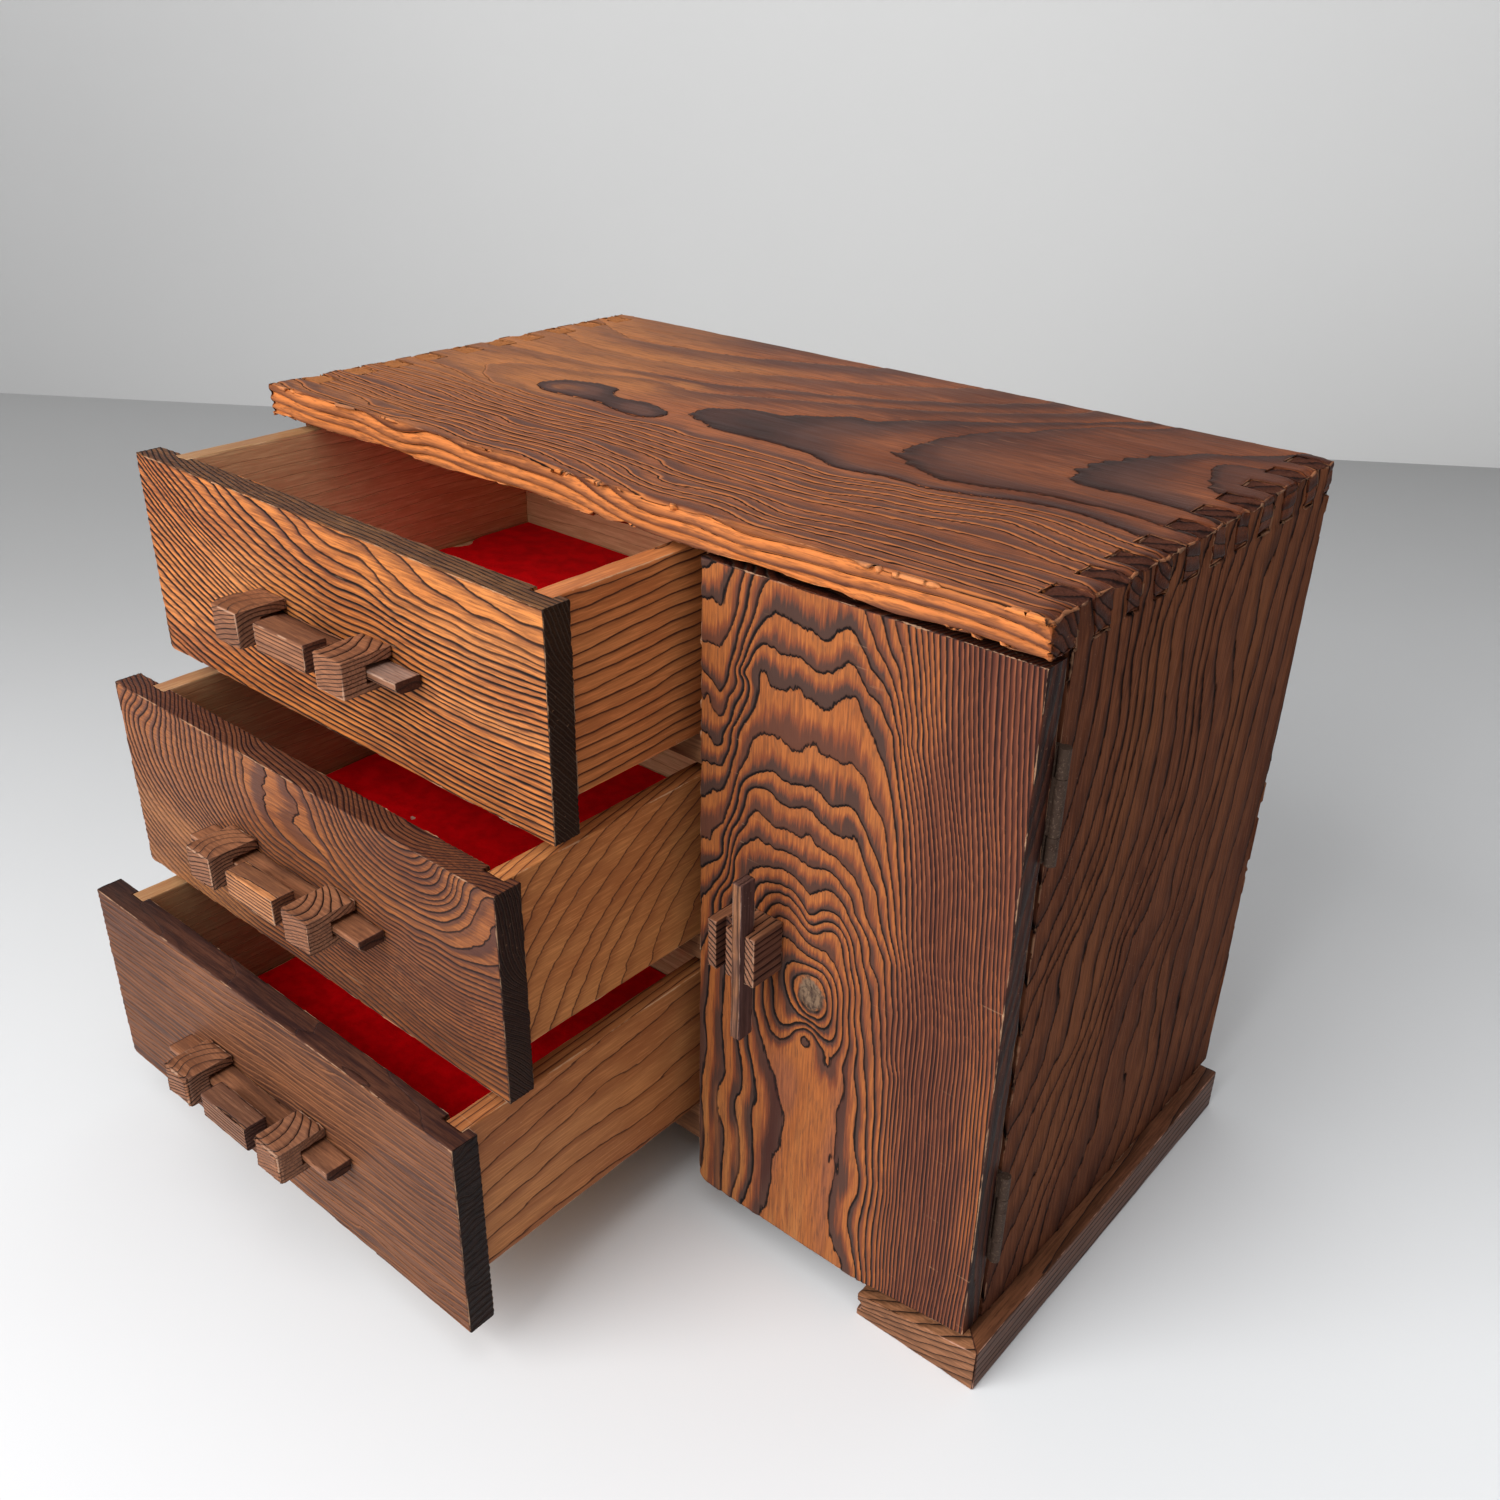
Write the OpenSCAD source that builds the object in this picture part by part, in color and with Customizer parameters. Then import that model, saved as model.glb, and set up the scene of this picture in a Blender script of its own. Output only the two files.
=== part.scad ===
// Small tansu chest: three drawers on the left, one full-height door on the right.
// Millimetres, Z up. Modelled from the case's front left corner, then moved to the middle of its footprint.
// The rest position has the three drawers pulled partly out and the door shut.

/* [Case] */
// Width over the two side panels
case_w = 350; // [320:1:400]
// Depth of the case without the door and the drawer fronts
case_d = 182.5; // [175:0.5:210]
// Gap between the top drawer's front and the top board
head_gap = 2.7; // [1.5:0.1:4]
// Thickness of the top board and the side panels
board_t = 12.5; // [11:0.5:13]
// Thickness of the divider and the drawer shelves
inner_t = 12; // [10:0.5:12.5]
// Thickness of the bottom board
bottom_t = 18.9; // [16:0.1:18.9]
// Thickness of the back panel
back_t = 5; // [4:0.5:6]
// Left face of the divider, from the left side panel's outer face
divider_x = 219; // [215:0.5:222]
// How far the top board reaches past the case's front edges
top_reach = 12.9; // [10:0.1:16]
// Height of the waves in the top board's front edge
top_wave = 0.7; // [0:0.1:1.2]

/* [Joints] */
// Number of pins on each side panel
pin_count = 10; // [6:1:10]
// Middle of the first pin behind the case's front edges
pin_first = 5.6; // [5.6:0.1:7]
// Middle of the last pin before the back of the case
pin_last = 10.4; // [10.4:0.1:12]
// Width of one pin
pin_w = 9; // [7:0.5:10]
// How much a hand-cut pin strays from its even place
pin_stray = 0.9; // [0:0.1:1]
// How far the pins end below the top face
pin_sink = 0.3; // [0:0.1:1]
// Depth of the housings that hold the shelves and the bottom board
housing_d = 4; // [2:0.5:5]
// Depth of the grooves that hold the divider
groove_d = 3; // [2:0.5:4]
// Width of the rebate that holds the back panel
rebate_w = 6.5; // [5:0.5:8]

/* [Plinth] */
// Height of the plinth
plinth_h = 18.3; // [16:0.1:18.3]
// How far the plinth stands out past each side panel
plinth_out = 7; // [4:0.5:10]
// How far the feet stand out past the case's front edges
foot_reach = 14.4; // [13.5:0.1:16]
// Width of a plinth rail, seen from above
rail_w = 20; // [18:0.5:26]
// Length of a front foot, from its outer corner
foot_l = 50; // [40:1:70]
// Height of a front foot at its inner end
foot_end_h = 10; // [8:0.5:11]
// Radius of the round notch at a front foot's inner end
foot_notch_r = 2.5; // [1.5:0.1:3]
// Middle of that notch past the foot's inner end
foot_notch_out = 0.8; // [0.2:0.1:1.2]
// Height of that notch's middle
foot_notch_z = 5.2; // [4:0.1:6]
// How far the plinth ends before the back of the case
plinth_back = 5; // [5:0.5:10]

/* [Drawer fronts] */
// Width of the fronts
front_w = 222; // [218:0.5:223]
// Thickness of the fronts
front_t = 11; // [9:0.5:12]
// Gap below the top drawer's front
top_front_gap = 5.8; // [4:0.1:7]
// Height of the top drawer's front
top_front_h = 79.1; // [78:0.1:80]
// Gap below the middle drawer's front
middle_front_gap = 2.8; // [1.5:0.1:4]
// Height of the middle drawer's front
middle_front_h = 81.1; // [80:0.1:82]
// Lower edge of the bottom drawer's front above the plinth
bottom_front_gap = 0.7; // [0.2:0.1:1.2]
// Height of the bottom drawer's front
bottom_front_h = 83; // [82:0.1:84]
// Worn rounding at the fronts' lower left corners
front_corner = 2.5; // [1:0.5:4]

/* [Drawers] */
// How far the top drawer stands open
top_open = 61.4; // [1:0.1:120]
// How far the middle drawer stands open
middle_open = 86.5; // [1:0.1:120]
// How far the bottom drawer stands open
bottom_open = 111; // [1:0.1:120]
// Lower edge of the top drawer's box above its front's lower edge
top_lift = 10.6; // [10:0.1:11]
// Lower edge of the middle drawer's box above its front's lower edge
middle_lift = 14.3; // [14:0.1:15]
// Lower edge of the bottom drawer's box above its front's lower edge
bottom_lift = 18.5; // [18:0.1:19]
// Depth of a drawer's box behind its front
box_d = 166; // [120:1:168]
// Thickness of a drawer's sides and back
box_t = 8; // [6:0.5:9]
// Thickness of a drawer's bottom
box_bottom_t = 4; // [3:0.5:5]
// Depth of the housings that hold the sides in the front and the back in the sides
box_housing = 3; // [2:0.5:4]
// Side play between a drawer's box and the case
side_play = 1.5; // [0.5:0.1:2.5]
// Play under a drawer's box
run_play = 0.3; // [0.1:0.1:0.6]
// How far a drawer's back ends below its sides
back_drop = 3; // [0:0.5:8]
// Width of the chisel nick beside a side's housing
nick_w = 1.8; // [0.5:0.1:3]
// Depth of that nick along the housing
nick_h = 6; // [3:0.5:12]
// Thickness of the felt liner
felt_t = 1; // [0.5:0.1:2]
// Play around the felt liner
felt_play = 0.5; // [0.3:0.1:2]

/* [Drawer pulls] */
// Length of the flat bar
bar_l = 103; // [80:1:120]
// Depth of the flat bar, from the front's face
bar_d = 10.5; // [8:0.5:12]
// Thickness of the flat bar
bar_t = 4.5; // [3:0.1:5]
// Top of the flat bar above the middle of the front
bar_top = 0.6; // [0:0.1:1]
// Bevel on the flat bar's lower front edge
bar_bevel = 1.8; // [0.5:0.1:2.5]
// Width of a post
post_w = 15; // [10:0.5:18]
// Depth of a post, from the front's face
post_d = 20; // [15:0.5:24]
// Top of a post above the middle of the front
post_top = 6.3; // [5:0.1:8]
// Height of a post
post_h = 13.3; // [11:0.1:15]
// Distance between the middles of the two posts
post_span = 59; // [50:1:66]
// Open height left above the flat bar in a post's notch
notch_play = 1.7; // [0.5:0.1:2]
// Width of the block between the posts
lap_w = 28.5; // [20:0.5:29]
// Height of that block
lap_h = 10.2; // [8:0.1:12]
// How far that block stands off the middle, towards the door
lap_shift = 2.6; // [0:0.1:5]

/* [Door] */
// Left edge of the door, from the left side panel's outer face
door_x = 228.2; // [226:0.1:230]
// Thickness of the door
door_t = 10.5; // [9:0.5:11]
// Gap between the door and the case, taken up by the two hinge leaves
door_gap = 2.4; // [2.4:0.1:3]
// Gap between the door's top edge and the top board
door_head_gap = 1.2; // [0.5:0.1:2]
// Lower edge of the door below the plinth's top
door_drop = 4.3; // [3.3:0.1:5.3]
// Lower edge of the door at its hinge side above the plinth's top
door_heel_rise = 2.2; // [1.7:0.1:3.7]
// Width of the sloping cut that clears the foot
door_heel_w = 45; // [40:1:60]
// Rounding of the door's lower free corner
door_corner = 4.5; // [2:0.5:8]
// Width of one finger of the door pull
finger_w = 4; // [3:0.1:6]
// Width of one groove of the door pull
slot_w = 4.2; // [4.1:0.1:5]
// Depth of the grooves of the door pull
slot_d = 5.3; // [4:0.1:8]
// Depth of the door pull's block
grip_d = 15.3; // [12:0.1:18]
// Height of the door pull's block
grip_h = 19.4; // [15:0.1:25]
// Left face of the door pull's block behind the door's left edge
grip_x = 17.3; // [12:0.1:40]
// Middle of the door pull's block above the plinth's top
grip_rise = 125.6; // [100:0.1:150]
// Width of the door pull's upright bar
upright_w = 4; // [3:0.1:4]
// Depth of the upright bar
upright_d = 7.3; // [6:0.1:10]
// Length of the upright bar
upright_l = 62.8; // [40:0.1:80]
// Middle of the upright bar below the block's middle
upright_drop = 1.3; // [0:0.1:4]

/* [Hinges] */
// Length of a hinge
hinge_l = 38; // [30:1:50]
// Middle of the upper hinge below the top board
upper_hinge_drop = 47; // [30:0.5:70]
// Middle of the lower hinge above the plinth's top
lower_hinge_rise = 50.3; // [30:0.1:80]
// Width of a leaf on the wood
leaf_w = 11; // [9:0.5:12]
// Thickness of a leaf
leaf_t = 1.1; // [0.8:0.05:1.1]
// Outer radius of the knuckles
knuckle_r = 1.8; // [1.6:0.1:2]
// Radius of the hinge pin
pin_r = 0.9; // [0.7:0.05:1]
// Middle of the pin outside the side panel's outer face
pin_out = 2.1; // [2:0.1:2.5]
// Radial play of the turning knuckles on the pin
pin_play = 0.05; // [0.02:0.01:0.1]
// Gap between two knuckles
knuckle_gap = 0.2; // [0.1:0.05:0.4]

/* [Screws and nails] */
// Radius of a screw's shank
screw_r = 1; // [0.8:0.1:1.2]
// Radius of a screw's head
screw_head_r = 2.1; // [1.8:0.1:2.4]
// Thickness of a screw's head
screw_head_t = 0.6; // [0.4:0.1:0.7]
// Length of a screw with its head
screw_l = 8; // [6:0.5:9]
// Distance between the two screws of a leaf
screw_span = 25; // [20:0.5:28]
// Middle of a leaf's screws from the side panel's outer face
screw_inset = 6; // [5:0.5:7]
// Radius of a nail's shank
nail_r = 0.6; // [0.4:0.1:0.8]
// Radius of a nail's head
nail_head_r = 1.5; // [1.2:0.1:2]
// Thickness of a nail's head
nail_head_t = 0.6; // [0.4:0.1:1]
// Length of a nail with its head
nail_l = 14; // [10:1:16]
// Nails in the side panels, from the panels' ends
nail_end = 42; // [20:1:60]
// Nails in the divider, above and below its middle
nail_rise = 55; // [20:1:90]

/* [Catch] */
// Width of the catch's block
catch_w = 12; // [10:0.5:16]
// Depth of the catch's block
catch_d = 20; // [16:0.5:30]
// Height of the catch's block
catch_h = 34; // [30:1:40]
// Thickness of the steel plate on the door
plate_t = 1; // [0.8:0.1:1.2]
// Gap left between the plate and the catch when the door is shut
catch_gap = 0.1; // [0.1:0.1:0.5]
// Border of the plate around the catch's block
plate_border = 1; // [0:0.5:2]
// Middle of the catch's screws from its ends
catch_screw_end = 7; // [5:0.5:9]
// Depth that the heads of the catch's screws are sunk
catch_sink = 2; // [1:0.5:3]

/* [Hidden] */
$fn = 48;
// a cut runs this far past the face that it opens
past = 1;
LEVELS = ["top", "middle", "bottom"];
DRAWER_PIECES = ["front", "side_left", "side_right", "back", "bottom", "felt",
                 "pull_bar", "pull_post_left", "pull_post_right", "pull_block"];
CASE_NODES = ["top_board", "side_panel_left", "side_panel_right", "divider", "bottom_board",
              "shelf_upper", "shelf_lower", "back_panel", "back_nails",
              "plinth_rail_left", "plinth_rail_right", "plinth_rail_back",
              "plinth_foot_left", "plinth_foot_right",
              "hinge_upper_case_leaf", "hinge_lower_case_leaf", "hinge_pins", "case_hinge_screws",
              "catch_block", "catch_screws"];
DOOR_NODES = ["door_panel", "door_pull_block", "door_pull_bar",
              "hinge_upper_door_leaf", "hinge_lower_door_leaf", "door_hinge_screws",
              "catch_plate", "catch_plate_screw"];
DRAWER_NODES = [for (level = LEVELS, piece = DRAWER_PIECES) str("drawer_", level, "_", piece)];

// the fronts stand on one another, and the case is as high as they ask
bottom_front_z = plinth_h + bottom_front_gap;
middle_front_z = bottom_front_z + bottom_front_h + middle_front_gap;
top_front_z = middle_front_z + middle_front_h + top_front_gap;
ceiling = top_front_z + top_front_h + head_gap;
case_h = ceiling + board_t;
case_mid = (plinth_h + ceiling) / 2;
front_z = [top_front_z, middle_front_z, bottom_front_z];
front_h = [top_front_h, middle_front_h, bottom_front_h];
open_y = [top_open, middle_open, bottom_open];
lift = [top_lift, middle_lift, bottom_lift];

// inner faces of the case
bottom_top = plinth_h + bottom_t;
inner_d = case_d - back_t;
shelf_top = [top_front_z + top_lift - run_play, middle_front_z + middle_lift - run_play];
divider_right = divider_x + inner_t;

// the top board's front edge: its straight steps, and the length, turn and share of each wave
edge_steps = 50;
WAVES = [[97, 35, 0.6], [43, 110, 0.4]];
pin_pitch = (case_d - pin_first - pin_last) / (pin_count - 1);
// turn from one pin's stray to the next one's
pin_turn = 100;

// drawer boxes
box_left = board_t + side_play;
box_right = divider_x - side_play;
bottom_rebate = box_bottom_t;
pull_x = front_w / 2;

// hinges: the pin stands in the middle of the gap, outside the right side panel
door_back = -door_gap;
door_front = door_back - door_t;
door_z = plinth_h - door_drop;
door_heel_z = plinth_h + door_heel_rise;
grip_z = plinth_h + grip_rise;
pin_x = case_w + pin_out;
pin_y = -door_gap / 2;
knuckle_l = hinge_l / 4;
leaf_edge = case_w + pin_out - knuckle_r - knuckle_gap;
leaf_root = pin_x - pin_r - pin_play;
screw_x = case_w - screw_inset;
upper_hinge_z = ceiling - upper_hinge_drop;
lower_hinge_z = plinth_h + lower_hinge_rise;
HINGE_Z = [upper_hinge_z, lower_hinge_z];

// catch
catch_front = door_back + plate_t + catch_gap;
plate_x = divider_right - plate_border;
plate_w = catch_w + 2 * plate_border;
plate_h = catch_h + 2 * plate_border;
catch_screw_y = catch_front + catch_d / 2;
catch_screw_dz = catch_h / 2 - catch_screw_end;

// nails of the back panel: x, z
nail_edge = board_t - rebate_w / 2;
NAILS = [for (x = [nail_edge, case_w - nail_edge])
           for (z = [plinth_h + nail_end, case_mid, ceiling - nail_end]) [x, z],
         for (side = [-1, 1]) [divider_x + inner_t / 2, case_mid + side * nail_rise],
         for (x = [divider_x / 2, (divider_right + case_w) / 2]) [x, plinth_h + bottom_t / 2]];

// middle of the footprint, drawers open
reach_y = bottom_open + front_t + post_d;
origin = [case_w / 2, (case_d - reach_y) / 2, 0];

burnt = "#5f3a24";
golden = "#a5632f";
pale = "#b57a48";
dark = "#4a2d20";
crimson = "#9c0a1c";
iron = "#5b544d";

// a block from one corner to the other
module box(low, high) {
  translate(low) cube(high - low);
}

// an outline in x and z, as thick as y runs from y0 to y1
module upright_plate(y0, y1) {
  rotate([90, 0, 0]) translate([0, 0, -y1]) linear_extrude(y1 - y0) children();
}

// an outline in y and z, as long as x runs from x0 to x1
module long_bar(x0, x1) {
  translate([x0, 0, 0]) rotate([90, 0, 90]) linear_extrude(x1 - x0) children();
}

// a turned shape whose axis points along +y
module along_y() {
  rotate([-90, 0, 0]) children();
}

// a turned shape whose axis points along +x
module along_x() {
  rotate([0, 90, 0]) children();
}

function pin_mid(i) = pin_first + i * pin_pitch + pin_stray * sin(pin_turn * i);
function one_wave(x, wave) = wave[2] * sin(360 * x / wave[0] + wave[1]);
function edge_wave(x) = top_wave * (one_wave(x, WAVES[0]) + one_wave(x, WAVES[1]));

// the blocks where a side panel's pins stand in the top board
module pins(x0, top) {
  for (i = [0 : pin_count - 1])
    box([x0, pin_mid(i) - pin_w / 2, ceiling], [x0 + board_t, pin_mid(i) + pin_w / 2, top]);
}

// screw along +y, its head's face at y = 0, longer by what it passes
module screw(passed = 0) {
  along_y() {
    cylinder(h = screw_head_t, r = screw_head_r);
    cylinder(h = screw_l + passed, r = screw_r);
  }
}

// nail along +y, its head's face at y = 0
module nail() {
  along_y() {
    cylinder(h = nail_head_t, r = nail_head_r);
    cylinder(h = nail_l, r = nail_r);
  }
}

module each_back_nail() {
  for (p = NAILS) translate([p[0], case_d, p[1]]) rotate([0, 0, 180]) nail();
}

// case
module top_board() {
  front_line = [for (i = [0 : edge_steps]) let (x = case_w * i / edge_steps) [x, -top_reach + edge_wave(x)]];
  color(burnt) difference() {
    translate([0, 0, ceiling]) linear_extrude(board_t)
      polygon(concat(front_line, [[case_w, case_d], [0, case_d]]));
    translate([-past, 0, 0]) pins(0, case_h + past);
    pins(0, case_h + past);
    pins(case_w - board_t, case_h + past);
    translate([past, 0, 0]) pins(case_w - board_t, case_h + past);
    box([divider_x, 0, ceiling - past], [divider_right, inner_d, ceiling + groove_d]);
  }
}

module side_panel(x0, inner_side) {
  inner = inner_side > 0 ? x0 + board_t : x0;
  color(burnt) difference() {
    union() {
      box([x0, 0, plinth_h], [x0 + board_t, case_d, ceiling]);
      pins(x0, case_h - pin_sink);
    }
    translate([inner, inner_d, plinth_h - past])
      box([-rebate_w, 0, 0], [rebate_w, back_t + past, ceiling - plinth_h + past]);
    translate([inner, -past, plinth_h - past])
      box([-housing_d, 0, 0], [housing_d, inner_d + past, bottom_t + past]);
    if (inner_side > 0)
      for (top = shelf_top)
        box([inner - housing_d, -past, top - inner_t], [inner + past, inner_d, top]);
    each_back_nail();
    if (inner_side < 0) case_screws();
  }
}

module side_panel_left() {
  side_panel(0, 1);
}

module side_panel_right() {
  side_panel(case_w - board_t, -1);
}

module divider() {
  color(golden) difference() {
    box([divider_x, 0, bottom_top - groove_d], [divider_right, inner_d, ceiling + groove_d]);
    for (top = shelf_top)
      box([divider_x - past, -past, top - inner_t], [divider_x + housing_d, inner_d + past, top]);
    each_back_nail();
    catch_screws_solid();
  }
}

module bottom_board() {
  color(golden) difference() {
    box([board_t - housing_d, 0, plinth_h], [case_w - board_t + housing_d, inner_d, bottom_top]);
    box([divider_x, -past, bottom_top - groove_d], [divider_right, inner_d + past, bottom_top + past]);
    each_back_nail();
  }
}

module shelf(top) {
  color(golden) box([board_t - housing_d, 0, top - inner_t], [divider_x + housing_d, inner_d, top]);
}

module shelf_upper() {
  shelf(shelf_top[0]);
}

module shelf_lower() {
  shelf(shelf_top[1]);
}

module back_panel() {
  color(golden) difference() {
    box([board_t - rebate_w, inner_d, plinth_h], [case_w - board_t + rebate_w, case_d, ceiling]);
    each_back_nail();
  }
}

module back_nails() {
  color(iron) each_back_nail();
}

// plinth
module plinth_rail(x0) {
  color(dark) difference() {
    box([x0, -foot_reach, 0], [x0 + rail_w, case_d - plinth_back, plinth_h]);
    mitre(x0 < 0 ? 1 : -1);
  }
}

// the half of the mitred corner that the foot fills; side is 1 at the left, -1 at the right
module mitre(side) {
  corner = side > 0 ? -plinth_out : case_w + plinth_out;
  translate([corner, -foot_reach, -past]) linear_extrude(plinth_h + 2 * past)
    polygon([[0, 0], [side * rail_w, rail_w], [side * (rail_w + past), rail_w],
             [side * (rail_w + past), -past], [-side * past, -past]]);
}

// a foot's front outline at the left: tapered top, round notch at its inner end
module foot_outline() {
  difference() {
    polygon([[0, 0], [foot_l, 0], [foot_l, foot_end_h], [0, plinth_h]]);
    translate([foot_l + foot_notch_out, foot_notch_z]) circle(r = foot_notch_r);
  }
}

module foot() {
  difference() {
    union() {
      upright_plate(-foot_reach, rail_w - foot_reach) foot_outline();
      box([rail_w / 2, 0, 0], [rail_w, rail_w - foot_reach, plinth_h]);
    }
    translate([0, -foot_reach, -past]) linear_extrude(plinth_h + 2 * past)
      polygon([[-past, -past], [0, 0], [rail_w, rail_w], [rail_w, rail_w + past], [-past, rail_w + past]]);
  }
}

module plinth_foot_left() {
  color(dark) translate([-plinth_out, 0, 0]) foot();
}

module plinth_foot_right() {
  color(dark) translate([case_w + plinth_out, 0, 0]) mirror([1, 0, 0]) foot();
}

module plinth_rail_left() {
  plinth_rail(-plinth_out);
}

module plinth_rail_right() {
  plinth_rail(case_w + plinth_out - rail_w);
}

module plinth_rail_back() {
  inner = rail_w - plinth_out;
  rear = case_d - plinth_back;
  color(dark) box([inner, rear - rail_w, 0], [case_w - inner, rear, plinth_h]);
}

// hinges: the case leaf has the outer knuckles on the upper hinge and the middle one on the lower hinge
module knuckles(outer) {
  if (outer)
    for (z = [-hinge_l / 2, hinge_l / 2 - knuckle_l])
      translate([pin_x, pin_y, z]) cylinder(h = knuckle_l, r = knuckle_r);
  else
    translate([pin_x, pin_y, -knuckle_l + knuckle_gap])
      cylinder(h = 2 * (knuckle_l - knuckle_gap), r = knuckle_r);
}

// the plate's roots between its edge and its knuckles
module leaf_roots(outer, y0) {
  if (outer)
    for (z = [-hinge_l / 2, hinge_l / 2 - knuckle_l])
      box([leaf_edge - past, y0, z], [leaf_root, y0 + leaf_t, z + knuckle_l]);
  else
    box([leaf_edge - past, y0, -knuckle_l + knuckle_gap], [leaf_root, y0 + leaf_t, knuckle_l - knuckle_gap]);
}

module leaf(z, outer, y0, bore_r) {
  color(iron) difference() {
    translate([0, 0, z]) union() {
      box([case_w - leaf_w, y0, -hinge_l / 2], [leaf_edge, y0 + leaf_t, hinge_l / 2]);
      leaf_roots(outer, y0);
      knuckles(outer);
    }
    translate([pin_x, pin_y, z - hinge_l / 2 - past]) cylinder(h = hinge_l + 2 * past, r = bore_r);
    if (y0 < pin_y) door_screws();
    else case_screws();
  }
}

module hinge_upper_case_leaf() {
  leaf(upper_hinge_z, true, -leaf_t, pin_r);
}

module hinge_lower_case_leaf() {
  leaf(lower_hinge_z, false, -leaf_t, pin_r);
}

module hinge_upper_door_leaf() {
  leaf(upper_hinge_z, false, door_back, pin_r + pin_play);
}

module hinge_lower_door_leaf() {
  leaf(lower_hinge_z, true, door_back, pin_r + pin_play);
}

module hinge_pins() {
  color(iron) for (z = HINGE_Z)
    translate([pin_x, pin_y, z - hinge_l / 2]) cylinder(h = hinge_l, r = pin_r);
}

module case_screws() {
  for (z = HINGE_Z, side = [-1, 1])
    translate([screw_x, -leaf_t, z + side * screw_span / 2]) screw();
}

module door_screws() {
  for (z = HINGE_Z, side = [-1, 1])
    translate([screw_x, door_back + leaf_t, z + side * screw_span / 2]) mirror([0, 1, 0]) screw();
}

module case_hinge_screws() {
  color(iron) case_screws();
}

module door_hinge_screws() {
  color(iron) door_screws();
}

// catch
module at_catch_screws() {
  for (side = [-1, 1])
    translate([divider_right + catch_w - catch_sink, catch_screw_y, case_mid + side * catch_screw_dz])
      children();
}

module catch_screws_solid() {
  at_catch_screws() rotate([0, 0, 90]) screw(catch_w - catch_sink);
}

module catch_block() {
  color(dark) difference() {
    box([divider_right, catch_front, case_mid - catch_h / 2],
        [divider_right + catch_w, catch_front + catch_d, case_mid + catch_h / 2]);
    catch_screws_solid();
    at_catch_screws() along_x() cylinder(h = catch_sink + past, r = screw_head_r);
  }
}

module catch_screws() {
  color(iron) catch_screws_solid();
}

module plate_screw() {
  translate([plate_x + plate_w / 2, door_back + plate_t, case_mid]) mirror([0, 1, 0]) screw();
}

module catch_plate() {
  color(iron) difference() {
    box([plate_x, door_back, case_mid - plate_h / 2],
        [plate_x + plate_w, door_back + plate_t, case_mid + plate_h / 2]);
    plate_screw();
  }
}

module catch_plate_screw() {
  color(iron) plate_screw();
}

// door
module door_outline() {
  top = ceiling - door_head_gap;
  union() {
    polygon([[door_x + door_corner, door_z], [case_w - door_heel_w, door_z], [case_w, door_heel_z],
             [case_w, top], [door_x, top], [door_x, door_z + door_corner],
             [door_x + door_corner, door_z + door_corner]]);
    translate([door_x + door_corner, door_z + door_corner]) circle(r = door_corner);
  }
}

module door_panel() {
  color(golden) difference() {
    upright_plate(door_front, door_back) door_outline();
    door_screws();
    plate_screw();
  }
}

module door_pull_block() {
  x0 = door_x + grip_x;
  step = finger_w + slot_w;
  color(burnt) difference() {
    box([x0, door_front - grip_d, grip_z - grip_h / 2],
        [x0 + 2 * step + finger_w, door_front, grip_z + grip_h / 2]);
    for (i = [0, 1])
      translate([x0 + finger_w + i * step, door_front - grip_d, grip_z - grip_h])
        box([0, -past, 0], [slot_w, slot_d, 2 * grip_h]);
  }
}

module door_pull_bar() {
  x0 = door_x + grip_x + 2 * finger_w + slot_w + (slot_w - upright_w) / 2;
  root = door_front - grip_d + slot_d;
  z0 = grip_z - upright_drop - upright_l / 2;
  color(golden) box([x0, root - upright_d, z0], [x0 + upright_w, root, z0 + upright_l]);
}

// drawers: y = 0 at the back face of the front, z = 0 at its lower edge
module in_drawer(i) {
  translate([0, -open_y[i], front_z[i]]) children();
}

module drawer_front(i) {
  h = front_h[i];
  color(burnt) in_drawer(i) difference() {
    upright_plate(-front_t, 0) union() {
      polygon([[front_corner, 0], [front_w, 0], [front_w, h], [0, h], [0, front_corner],
               [front_corner, front_corner]]);
      translate([front_corner, front_corner]) circle(r = front_corner);
    }
    for (x = [box_left, box_right - box_t])
      box([x, -box_housing, lift[i]], [x + box_t, past, h + past]);
    box([box_right - box_t - nick_w, -box_housing, h - nick_h], [box_right - box_t / 2, past, h + past]);
  }
}

// a side of the box, its outer face at x0, opened towards side 1 (right) or -1 (left)
module drawer_side(i, x0, side) {
  inner = side > 0 ? x0 + box_t : x0;
  color(pale) in_drawer(i) difference() {
    box([x0, -box_housing, lift[i]], [x0 + box_t, box_d, front_h[i]]);
    box([inner - bottom_rebate, 0, lift[i] - past],
        [inner + bottom_rebate, box_d + past, lift[i] + box_bottom_t]);
    box([inner - box_housing, box_d - box_t, lift[i] - past],
        [inner + box_housing, box_d + past, front_h[i] - back_drop]);
  }
}

module drawer_back(i) {
  color(pale) in_drawer(i)
    box([box_left + box_t - box_housing, box_d - box_t, lift[i] + box_bottom_t],
        [box_right - box_t + box_housing, box_d, front_h[i] - back_drop]);
}

module drawer_bottom(i) {
  color(pale) in_drawer(i)
    box([box_left + box_t - bottom_rebate, 0, lift[i]],
        [box_right - box_t + bottom_rebate, box_d, lift[i] + box_bottom_t]);
}

module drawer_felt(i) {
  z0 = lift[i] + box_bottom_t;
  color(crimson) in_drawer(i)
    box([box_left + box_t + felt_play, felt_play, z0],
        [box_right - box_t - felt_play, box_d - box_t - felt_play, z0 + felt_t]);
}

module pull_bar(i) {
  low = bar_top - bar_t;
  color(burnt) in_drawer(i) translate([0, -front_t, front_h[i] / 2])
    long_bar(pull_x - bar_l / 2, pull_x + bar_l / 2)
      polygon([[0, low], [0, bar_top], [-bar_d, bar_top], [-bar_d, low + bar_bevel],
               [-bar_d + bar_bevel, low]]);
}

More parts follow.
